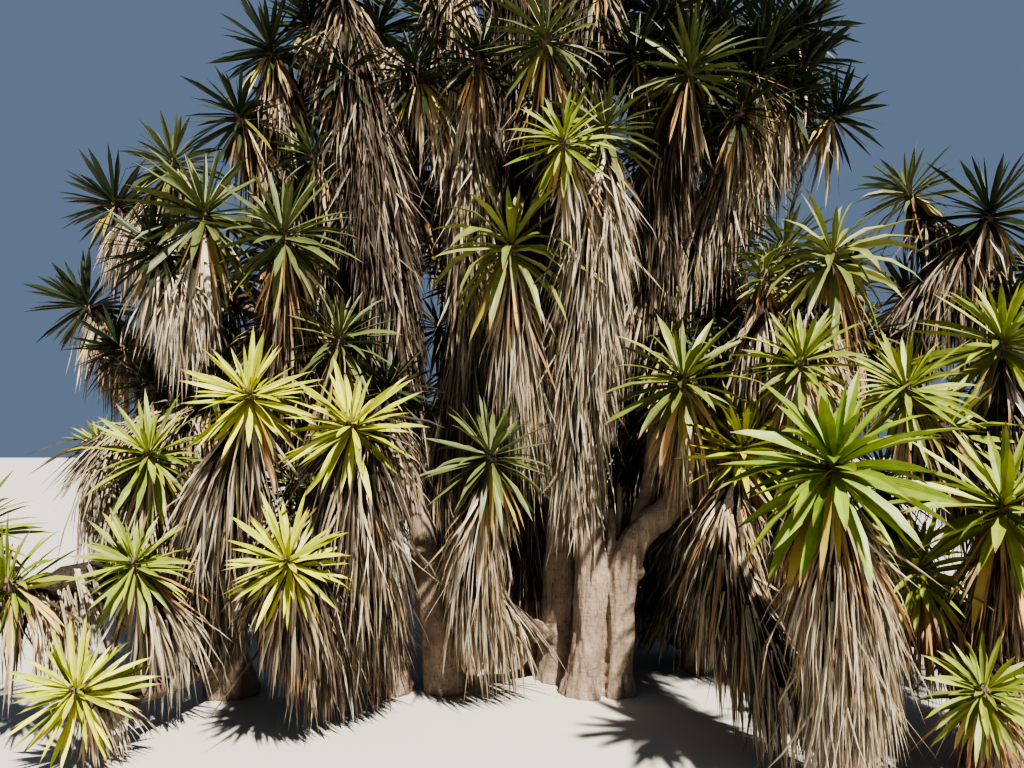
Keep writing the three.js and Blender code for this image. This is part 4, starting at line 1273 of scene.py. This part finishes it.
def head_leaves(head, habit, rng):
    top, axis, size = np.array(head[:3]), head_axis(head), head[5]
    count, pattern = habit["leaves"], habit["pattern"]
    i = np.arange(count)
    age = i / count
    tilt = np.arccos(1 - (1 - math.cos(rng.uniform(*LEAF_SPREAD))) * (i + 0.4) / count)
    turn = rng.uniform(0, 2 * math.pi) + i * GOLDEN_ANGLE
    directions, outward = around(axis, tilt, turn)
    directions = unit(directions + rng.normal(0, LEAF_SCATTER, (count, 3)))
    roots = top - np.outer(TOP_ROOT + (NECK - TOP_ROOT) * age, axis) + outward * STEM_TOP_RADIUS * 0.5
    lengths = LEAF_LENGTH * size * rng.uniform(*LEAF_LENGTHS, count)
    lengths = lengths * np.interp(age, (0, 0.2), (YOUNG_LENGTH, 1))
    sags = habit["sag"] * rng.uniform(*LEAF_SAGS, count) * (0.5 + 1.2 * age)
    spines, lengths = within_reach(roots, directions, lengths, sags, pattern["stations"])
    sides = unit(np.cross(axis, directions))
    sides = turned(sides, directions, rng.normal(0, LEAF_ROLL, count) * (0.3 + age))
    half_widths = lengths * habit["half_width"] * rng.uniform(*LEAF_WIDTHS, count)
    half_widths = half_widths * np.interp(age, (0, 0.15), (YOUNG_WIDTH, 1))
    return set_out(pattern, spines, sides, half_widths)


# %% [markdown]
# ## Leaves that have just died
#
# Between the green ball and the skirt hang the leaves of last season. They are as broad as the green
# ones, have folded back against the stem, and have turned from yellow to orange. They make the upper
# edge of the skirt ragged.

# %% A ring of ageing leaves
AGEING_LEAVES = 14
AGEING_TILT = (math.radians(112), math.radians(168))
AGEING_PULL = 0.5  # of the ground, against the leaf's own direction
AGEING_LENGTHS = (0.75, 1.1)
AGEING_SAGS = (0.3, 1.4)
AGEING_WIDTHS = (0.5, 0.85)
DRY_ROLL = 0.8  # how far dead leaves are rolled about their midribs


def ageing_leaves(head, habit, rng):
    top, axis, size = np.array(head[:3]), head_axis(head), head[5]
    share = rng.uniform(0, 1, AGEING_LEAVES)
    tilt = AGEING_TILT[0] + (AGEING_TILT[1] - AGEING_TILT[0]) * share
    turn = rng.uniform(0, 2 * math.pi, AGEING_LEAVES)
    directions, outward = around(axis, tilt, turn)
    directions = unit(directions - (0, 0, AGEING_PULL))
    roots = top - np.outer(NECK * (0.6 + 0.6 * share), axis) + outward * STEM_TOP_RADIUS * 0.5
    lengths = LEAF_LENGTH * size * rng.uniform(*AGEING_LENGTHS, AGEING_LEAVES)
    sags = rng.uniform(*AGEING_SAGS, AGEING_LEAVES)
    spines, lengths = within_reach(roots, directions, lengths, sags, far_blade["stations"])
    sides = unit(np.cross(axis, directions))
    sides = turned(sides, directions, rng.normal(0, DRY_ROLL, AGEING_LEAVES))
    half_widths = lengths * habit["half_width"] * rng.uniform(*AGEING_WIDTHS, AGEING_LEAVES)
    return set_out(far_blade, spines, sides, half_widths), share


# %% Grow every head
HABITS = {  # how the heads of each colour grow
    "deep": dict(leaves=64, sag=0.18, half_width=0.049, pattern=far_blade),
    "mid": dict(leaves=62, sag=0.28, half_width=0.05, pattern=mid_blade),
    "bright": dict(leaves=64, sag=0.26, half_width=0.051, pattern=near_blade),
    "yellow": dict(leaves=66, sag=0.12, half_width=0.047, pattern=near_blade),
    "broad": dict(leaves=68, sag=0.34, half_width=0.068, pattern=near_blade),
    "drooping": dict(leaves=44, sag=0.85, half_width=0.056, pattern=near_blade),
    "open": dict(leaves=48, sag=0.3, half_width=0.06, pattern=near_blade),
}
OWN_HABITS = {
    "head_right_front": "broad", "heads_right_arm": "open",
    "head_drooping": "drooping", "heads_right_upper": "drooping",
}
STILL_YELLOW = 0.5  # the share of a head's ageing leaves that are still yellow
YELLOW_BLUR = 0.15

for number, stem in enumerate(stems):
    rng = np.random.default_rng(SEED + number)
    head = stem["head"]
    own = OWN_HABITS.get(stem["mass"]) if stem["first"] else None
    habit = HABITS[own or head[6]]
    corners = head_leaves(head, habit, rng)
    chances = rng.uniform(0, 1, len(corners))
    heap("leaves_" + (own or head[6]), habit["pattern"], corners, chances, stem["mass"])
    corners, share = ageing_leaves(head, habit, rng)
    chances = rng.uniform(0, 1, len(share))
    yellow = share + rng.normal(0, YELLOW_BLUR, len(share)) < STILL_YELLOW
    heap("leaves_yellowing", far_blade, corners[yellow], chances[yellow], stem["mass"])
    heap("leaves_orange", far_blade, corners[~yellow], chances[~yellow], stem["mass"])
print({kind: sum(len(c) for c in pile["corners"]) for kind, pile in heaps.items()}, "green leaves")

# %% [markdown]
# ## Skirts of dead leaves
#
# A dead leaf doesn't fall. It folds down at its root, and hangs against the stem over the older ones.
# So a dry leaf starts at the stem, goes out to the shape of the skirt and hangs straight down from there.
# Most of them keep to that shape, and only a few stand askew. Chance deals their colours out, in shares
# that differ from stem to stem and from the head to the hem.

# %% How the colours are shared out
THATCH_KINDS = ("orange", "brown", "straw", "pale", "grey")
THATCH_SHARES = {  # near the head, and at the hem
    "bleached": ((0, 0.04, 0.26, 0.7, 0), (0, 0.04, 0.22, 0.69, 0.05)),
    "white": ((0.42, 0.05, 0.33, 0.2, 0), (0.03, 0.07, 0.25, 0.6, 0.05)),
    "orange": ((0.5, 0.15, 0.35, 0, 0), (0.08, 0.25, 0.37, 0.2, 0.1)),
    "brown": ((0.15, 0.45, 0.32, 0.03, 0.05), (0, 0.55, 0.16, 0.05, 0.24)),
    # the dark mix, for skirts inside the crown, is partly painted shade: darker brown than the leaves' own
    "dark": ((0.12, 0.62, 0.2, 0.02, 0.04), (0, 0.7, 0.08, 0.03, 0.19)),
    "straw": ((0.12, 0.1, 0.58, 0.2, 0), (0, 0.18, 0.4, 0.22, 0.2)),
    "pale": ((0.05, 0.1, 0.4, 0.45, 0), (0, 0.1, 0.3, 0.45, 0.15)),
    "grey": ((0.1, 0.15, 0.4, 0.15, 0.2), (0, 0.2, 0.25, 0.15, 0.4)),
}
DRY_LENGTH = 0.62
DRY_LENGTHS = (0.6, 1.2)
DRY_HALF_WIDTH = 0.0096
DRY_WIDTHS = (0.45, 1.45)
DRY_SWAY = 0.09
FRESH_WIDTH = 1.5  # how much wider the newest dead leaves are
RAGGED = (0.7, 1.16)  # how unevenly the leaves keep to the skirt's shape
FARTHEST_OUT = 0.7  # of a leaf's length, that it may stand out by
DRY_PER_METRE = 1450  # for each metre of a skirt's radius too
FRONT = -0.4  # skirts that hang nearer than this take the finer dry blade
NEAREST = -1.5  # and those nearer than this have more and thinner leaves
FINER = 0.72
FRESH_DEPTH = 0.7  # how far down the colours of the newest dead leaves reach
WILD_SHARE = 0.08  # of the dead leaves stand askew
LIE_BACK = 0.45  # how far a leaf lies back along a leaning stem
SHORTEST = 0.1
SKIRT_SEED = 1000  # keeps the skirts' numbers apart from the heads'


def hanging_midribs(roots, outward, reaches, hang, sways, stations):
    """Midribs that swell out from the stem, each while it hangs its own way."""
    t = stations[None, :, None]
    out = outward[:, None] * reaches[:, None, None] * (1 - (1 - t) ** 1.45)
    aside = np.cross(unit(hang), outward)[:, None] * sways[:, None, None] * t**1.5
    return roots[:, None] + out + aside + hang[:, None] * t


def hanging_way(outward, along):
    """Down, but over the top of a leaning stem a leaf lies back along it and slips off at its side."""
    down = np.zeros_like(outward)
    down[:, 2] = -1
    down += outward * np.maximum(outward[:, 2:], 0) * 0.7
    return unit(down - along * LIE_BACK * np.maximum(along[:, 2:], 0) ** 2)


# %% One skirt
def skirt_leaves(stem, pattern, rng):
    way = stem["way"]
    neck, length, whole = skirt_reach(stem)
    leaf_length = DRY_LENGTH * (0.6 + 0.4 * stem["head"][5])
    places = np.linspace(0, max(whole - 0.7 * leaf_length, 0.15), 60)
    weights = np.cumsum(skirt_radius(stem, length, places) + 0.02)
    finer = FINER if stem["head"][1] < NEAREST else 1
    count = int(DRY_PER_METRE * weights[-1] * places[1] / finer)
    below = np.interp(rng.uniform(0, weights[-1], count), weights, places) - 0.04
    shares = (neck - below) / way.length
    along, stem_radii = way.along(shares), way.radius(shares) * 0.8
    turn = rng.uniform(0, 2 * math.pi, count)
    first = unit(np.cross(along, (0.2, 1.0, 0.1)))
    outward = first * np.cos(turn)[:, None] + np.cross(along, first) * np.sin(turn)[:, None]
    start = np.maximum(stem_radii, skirt_radius(stem, length, below) * np.interp(below, (0, 0.4), (0, 0.6)))
    roots = way.at(shares) + outward * start[:, None]
    hang = hanging_way(outward, along)
    lengths = leaf_length * rng.uniform(*DRY_LENGTHS, count)
    lengths = np.minimum(lengths, (roots[:, 2] - LOWEST) / np.maximum(-hang[:, 2], 0.3))
    kept = lengths > SHORTEST
    lengths = np.maximum(lengths, SHORTEST)
    wild = rng.uniform(0, 1, count) < WILD_SHARE
    ends = skirt_radius(stem, length, below + 0.85 * lengths) * rng.uniform(*RAGGED, count)
    reaches = np.clip(ends * (1 + 0.5 * wild) - start, 0.01, FARTHEST_OUT * lengths)
    sways = lengths * rng.normal(0, DRY_SWAY, count) * (1 + 2 * wild)
    hang = hang * np.sqrt(lengths**2 - reaches**2)[:, None]
    spines = hanging_midribs(roots, outward, reaches, hang, sways, pattern["stations"])
    spines[:, :, 2] = np.maximum(spines[:, :, 2], LOWEST)
    directions = unit(spines[:, -1] - spines[:, 0])
    sides = turned(unit(np.cross(directions, outward)), directions, rng.normal(0, DRY_ROLL, count))
    half_widths = finer * DRY_HALF_WIDTH * rng.uniform(*DRY_WIDTHS, count)
    half_widths = half_widths * np.interp(below, (0, 0.3), (FRESH_WIDTH, 1))
    return set_out(pattern, spines, sides, half_widths)[kept], below[kept]


# %% Hang every skirt
for number, stem in enumerate(stems):
    rng = np.random.default_rng(SKIRT_SEED + SEED + number)
    near = stem["head"][1] < FRONT
    pattern = dry_blade if near else old_blade
    corners, below = skirt_leaves(stem, pattern, rng)
    fresh, old = (np.array(shares) for shares in THATCH_SHARES[MASSES[stem["mass"]]["thatch"]])
    shares = old + (fresh - old) * np.clip(1 - below / FRESH_DEPTH, 0, 1)[:, None]
    dealt = (np.cumsum(shares, axis=1) > rng.uniform(0, 1, len(below))[:, None]).argmax(axis=1)
    chances = rng.uniform(0, 1, len(below))
    for k, kind in enumerate(THATCH_KINDS):
        kind = f"thatch_{kind}" + ("" if near else "_behind")
        heap(kind, pattern, corners[dealt == k], chances[dealt == k], stem["mass"])
print({kind: sum(len(c) for c in pile["corners"]) for kind, pile in heaps.items()}, "leaves in all")

# %% [markdown]
# ## Colour that follows a leaf
#
# All leaves share one node group. The UV map says how far along and across the blade a point is, and
# chance makes each leaf a little lighter or darker than its neighbours. The root of a leaf is pale, the
# very tip is scorched, fine ribs run from end to end, and soft blotches come from noise in the object's
# own coordinates. The group only puts out colours and values; the shader stays in the material.

# %% Helpers for nodes
def socket(group, name, direction, kind="NodeSocketFloat"):
    return group.interface.new_socket(name=name, in_out=direction, socket_type=kind)


def put(tree, kind, inputs, output, **settings):
    """Adds a node, sets or links its inputs, and gives one of its outputs."""
    made = tree.nodes.new("ShaderNode" + kind)
    for name, value in settings.items():
        setattr(made, name, value)
    for place, value in inputs.items():
        if isinstance(value, bpy.types.NodeSocket):
            tree.links.new(value, made.inputs[place])
        else:
            made.inputs[place].default_value = value
    return made.outputs[output]


def mix_colour(tree, share, first, second):
    return put(tree, "Mix", {0: share, 6: first, 7: second}, 2, data_type="RGBA")


def maths(tree, operation, *values, clamp=False):
    return put(tree, "Math", dict(enumerate(values)), 0, operation=operation, use_clamp=clamp)


def ramp(tree, value, low, high, to_low=0.0, to_high=1.0):
    """A smooth step: to_low below low, to_high above high."""
    inputs = {"Value": value, "From Min": low, "From Max": high, "To Min": to_low, "To Max": to_high}
    return put(tree, "MapRange", inputs, "Result", interpolation_type="SMOOTHSTEP")


def speckle(tree, vector, scale, detail=3.0, roughness=0.6):
    inputs = {"Vector": vector, "Scale": scale, "Detail": detail, "Roughness": roughness}
    return put(tree, "TexNoise", inputs, "Fac")


# %% The group that colours a blade
def blade_colours():
    """Inputs: where on the blade, the leaf's own number, and its colours. Outputs: colour and relief."""
    group = bpy.data.node_groups.new("blade colours", "ShaderNodeTree")
    for name in ("Across", "Along", "Chance", "Blotches", "Ribs", "Scorch"):
        socket(group, name, "INPUT")
    socket(group, "Position", "INPUT", "NodeSocketVector")
    for name in ("Blade", "Other blade", "Root", "Tip"):
        socket(group, name, "INPUT", "NodeSocketColor")
    socket(group, "Colour", "OUTPUT", "NodeSocketColor")
    socket(group, "Height", "OUTPUT")
    given = group.nodes.new("NodeGroupInput").outputs
    result = group.nodes.new("NodeGroupOutput").inputs
    blotch = ramp(group, speckle(group, given["Position"], 9.0), 0.35, 0.65)
    blotch = maths(group, "MULTIPLY", blotch, given["Blotches"])
    turn = maths(group, "ADD", maths(group, "MULTIPLY", given["Chance"], 0.75), blotch, clamp=True)
    body = mix_colour(group, turn, given["Blade"], given["Other blade"])
    wave = maths(group, "SINE", maths(group, "MULTIPLY", given["Across"], 2 * math.pi * 9))
    rib = maths(group, "MULTIPLY_ADD", wave, 0.5, 0.5)
    edge = maths(group, "ABSOLUTE", maths(group, "MULTIPLY_ADD", given["Across"], 2.0, -1.0))
    midrib = ramp(group, edge, 0.0, 0.14, 1.0, 0.0)
    lined = maths(group, "ADD", maths(group, "MULTIPLY", rib, 0.35), midrib)
    lined = maths(group, "MULTIPLY", lined, given["Ribs"])
    body = mix_colour(group, maths(group, "MINIMUM", lined, 1.0), body, given["Root"])
    root = ramp(group, given["Along"], 0.02, 0.17, 0.5, 0.0)
    body = mix_colour(group, root, body, given["Root"])
    burnt = maths(group, "ADD", given["Along"], maths(group, "MULTIPLY", blotch, 0.2))
    burnt = maths(group, "MULTIPLY", ramp(group, burnt, 0.9, 0.99), given["Scorch"])
    group.links.new(mix_colour(group, burnt, body, given["Tip"]), result["Colour"])
    group.links.new(maths(group, "ADD", rib, midrib), result["Height"])
    return group


BLADE_COLOURS = blade_colours()
print("blade colours:", len(BLADE_COLOURS.nodes), "nodes")


# %% A material for each kind of leaf
LEAF_RELIEF = 0.002  # how deep the bumps are, in metres


def dressed(name, group, values, colours, bump, depth):
    """A material, and its group node, which gives it its colour and its bumps."""
    material = bpy.data.materials.new(name)
    material.use_nodes = True
    tree = material.node_tree
    shader = tree.nodes["Principled BSDF"]
    mixer = tree.nodes.new("ShaderNodeGroup")
    mixer.node_tree = group
    tree.links.new(put(tree, "TexCoord", {}, "Object"), mixer.inputs["Position"])
    for label, value in values.items():
        mixer.inputs[label].default_value = value
    for label, colour in colours.items():
        mixer.inputs[label].default_value = srgb(*colour)
    tree.links.new(mixer.outputs["Colour"], shader.inputs["Base Color"])
    bumps = {"Strength": bump, "Distance": depth, "Height": mixer.outputs["Height"]}
    tree.links.new(put(tree, "Bump", bumps, "Normal"), shader.inputs["Normal"])
    return material, mixer


def leaf_material(name, colours, roughness, blotches, ribs, scorch, bump):
    values = {"Blotches": blotches, "Ribs": ribs, "Scorch": scorch}
    named = dict(zip(("Blade", "Other blade", "Root", "Tip"), colours))
    material, mixer = dressed(name, BLADE_COLOURS, values, named, bump, LEAF_RELIEF)
    tree = material.node_tree
    apart = tree.nodes.new("ShaderNodeSeparateXYZ")
    tree.links.new(put(tree, "UVMap", {}, "UV", uv_map="blade"), apart.inputs[0])
    tree.links.new(apart.outputs["X"], mixer.inputs["Across"])
    tree.links.new(apart.outputs["Y"], mixer.inputs["Along"])
    tree.links.new(put(tree, "Attribute", {}, "Fac", attribute_name="chance"), mixer.inputs["Chance"])
    tree.nodes["Principled BSDF"].inputs["Roughness"].default_value = roughness
    return material


GREENS = {  # blade, other blade, root, tip
    # deep green is partly painted shade, darkened to the tone of heads in the crown's shadow
    "leaves_deep": ((38, 48, 32), (66, 77, 50), (84, 94, 60), (86, 74, 56)),
    "leaves_mid": ((74, 85, 50), (114, 121, 74), (122, 130, 84), (112, 96, 68)),
    "leaves_bright": ((98, 116, 46), (160, 166, 78), (150, 158, 90), (134, 108, 74)),
    "leaves_broad": ((90, 114, 42), (152, 170, 70), (148, 160, 84), (134, 108, 74)),
    "leaves_open": ((82, 97, 46), (138, 145, 76), (134, 142, 88), (122, 102, 70)),
    "leaves_drooping": ((98, 110, 56), (150, 151, 88), (142, 146, 96), (130, 106, 72)),
    "leaves_yellow": ((136, 150, 46), (206, 204, 84), (158, 158, 78), (144, 116, 72)),
    "leaves_yellowing": ((132, 128, 58), (180, 154, 90), (150, 140, 88), (118, 90, 58)),
    "leaves_orange": ((182, 142, 94), (206, 176, 128), (180, 154, 112), (104, 78, 56)),
}
DRIES = {
    "thatch_orange": ((204, 162, 114), (172, 128, 84), (206, 178, 134), (108, 82, 60)),
    # brown dead leaves, made darker partly as painted shade for the skirts in the crown's shadow
    "thatch_brown": ((108, 92, 75), (76, 63, 52), (120, 104, 87), (60, 50, 41)),
    "thatch_straw": ((208, 190, 155), (172, 153, 122), (212, 198, 166), (120, 100, 78)),
    "thatch_pale": ((234, 223, 201), (206, 192, 167), (236, 226, 207), (150, 131, 108)),
    "thatch_grey": ((168, 157, 142), (132, 121, 108), (178, 168, 154), (96, 85, 74)),
}
leaf_materials = {}
for kind, colours in GREENS.items():
    leaf_materials[kind] = leaf_material(
        kind, colours, roughness=0.4, blotches=0.35, ribs=0.18, scorch=1.0, bump=0.35)
for kind, colours in DRIES.items():
    leaf_materials[kind] = leaf_material(
        kind, colours, roughness=0.8, blotches=0.5, ribs=0.35, scorch=0.6, bump=0.8)
print(len(leaf_materials), "leaf materials")

# %% [markdown]
# ## Colour of the bark
#
# Yucca bark is thin, corky and pale, between grey and brown, with fine upright cracks and pale
# flakes between them. The noise that makes the cracks is squeezed sideways by a Mapping node, so it
# runs up the trunk. It also drives the bump and, slightly, the roughness. The stems take the same
# group in darker colours, painted shade for the skirts' shadow over them. The felt of old leaves under
# the skirts takes it too, in darker colours still, which are partly painted shade, and with stronger
# strands.

# %% The group that colours bark
def bark_colours():
    group = bpy.data.node_groups.new("bark colours", "ShaderNodeTree")
    socket(group, "Position", "INPUT", "NodeSocketVector")
    socket(group, "Cracks", "INPUT")
    for name in ("Skin", "Flake", "Crack"):
        socket(group, name, "INPUT", "NodeSocketColor")
    socket(group, "Colour", "OUTPUT", "NodeSocketColor")
    socket(group, "Roughness", "OUTPUT")
    socket(group, "Height", "OUTPUT")
    given = group.nodes.new("NodeGroupInput").outputs
    result = group.nodes.new("NodeGroupOutput").inputs
    upright = put(group, "Mapping", {"Vector": given["Position"], "Scale": (1, 1, 0.2)}, "Vector")
    level = put(group, "Mapping", {"Vector": given["Position"], "Scale": (0.3, 0.3, 2.2)}, "Vector")
    patches = ramp(group, speckle(group, given["Position"], 5.0, 4.0), 0.35, 0.7)
    flakes = ramp(group, speckle(group, given["Position"], 120.0, 3.0, 0.7), 0.48, 0.68)
    strands = speckle(group, upright, 105.0, 5.0, 0.7)
    cracks = maths(group, "MULTIPLY", ramp(group, strands, 0.34, 0.5, 1.0, 0.0), given["Cracks"])
    rings = ramp(group, speckle(group, level, 34.0, 4.0, 0.7), 0.36, 0.5, 1.0, 0.0)
    body = mix_colour(group, patches, given["Skin"], given["Flake"])
    body = mix_colour(group, maths(group, "MULTIPLY", flakes, 0.5), body, given["Flake"])
    body = mix_colour(group, maths(group, "MULTIPLY", rings, 0.2), body, given["Crack"])
    group.links.new(mix_colour(group, cracks, body, given["Crack"]), result["Colour"])
    group.links.new(maths(group, "MULTIPLY_ADD", cracks, 0.1, 0.82), result["Roughness"])
    high = maths(group, "ADD", strands, maths(group, "MULTIPLY", flakes, 0.35))
    high = maths(group, "SUBTRACT", high, maths(group, "MULTIPLY", rings, 0.4))
    group.links.new(maths(group, "SUBTRACT", high, cracks), result["Height"])
    return group


BARK_COLOURS = bark_colours()
BARK_RELIEF = 0.004


def bark_material(name, colours, cracks, bump):
    named = dict(zip(("Skin", "Flake", "Crack"), colours))
    material, mixer = dressed(name, BARK_COLOURS, {"Cracks": cracks}, named, bump, BARK_RELIEF)
    tree = material.node_tree
    tree.links.new(mixer.outputs["Roughness"], tree.nodes["Principled BSDF"].inputs["Roughness"])
    return material


BARKS = {  # skin, flake, crack
    "trunk_bark": ((151, 133, 116), (179, 159, 140), (92, 77, 66)),
    # the trunks' bark made darker, as painted shade for the shadow under the skirts
    "stem_bark_painted_shade": ((112, 96, 82), (142, 125, 109), (54, 43, 36)),
    # matted dead leaves, darkened as painted shade for the shadow between the strands, with near-black
    # cracks
    "matted_thatch": ((60, 49, 40), (76, 63, 52), (22, 17, 14)),
}
trunk_bark = bark_material("trunk_bark", BARKS["trunk_bark"], cracks=0.5, bump=1.0)
stem_bark_painted_shade = bark_material("stem_bark_painted_shade", BARKS["stem_bark_painted_shade"], cracks=0.9, bump=0.8)
felt_skin = bark_material("matted_thatch", BARKS["matted_thatch"], cracks=1.0, bump=1.0)
print("bark colours:", len(BARK_COLOURS.nodes), "nodes,", len(BARKS), "materials")

# %% [markdown]
# ## Put it together
#
# Every piece is given the body it moves with and the finish it takes, and the plain solids that it
# stands for are hidden. The whole plant is one body, because nothing on it moves.

# %% Name, finish and place every piece
def hand_over(piece, material, nodes):
    piece.data.materials.clear()
    piece.data.materials.append(material)
    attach(piece, "root")
    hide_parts(*sorted(nodes))


def triangles_in(piece):
    return sum(len(face.vertices) - 2 for face in piece.data.polygons)


NODE_OF = {"left": "trunk_main", "right": "trunk_main"}  # two stems of the table are one solid
for name, skin in bark.items():
    limbs = BARK_GROUPS[name][0]
    hand_over(skin, trunk_bark, {NODE_OF.get(limb, limb) for limb in limbs})
hand_over(wood, stem_bark_painted_shade, MASSES)
hand_over(felt, felt_skin, MASSES)
hand_over(flower_stalk, felt_skin, ["heads_right_upper"])

triangles = 0
for kind, pile in heaps.items():
    corners = np.concatenate(pile["corners"])
    piece = joined_leaves(kind, pile["pattern"], corners, np.concatenate(pile["chances"]))
    hand_over(piece, leaf_materials[kind.removesuffix("_behind")], pile["nodes"])
    count = triangles_in(piece)
    triangles += count
    print(kind, len(corners), "leaves", count, "triangles")
triangles += sum(triangles_in(piece) for piece in [*bark.values(), wood, felt, flower_stalk])
print(triangles, "triangles in all")
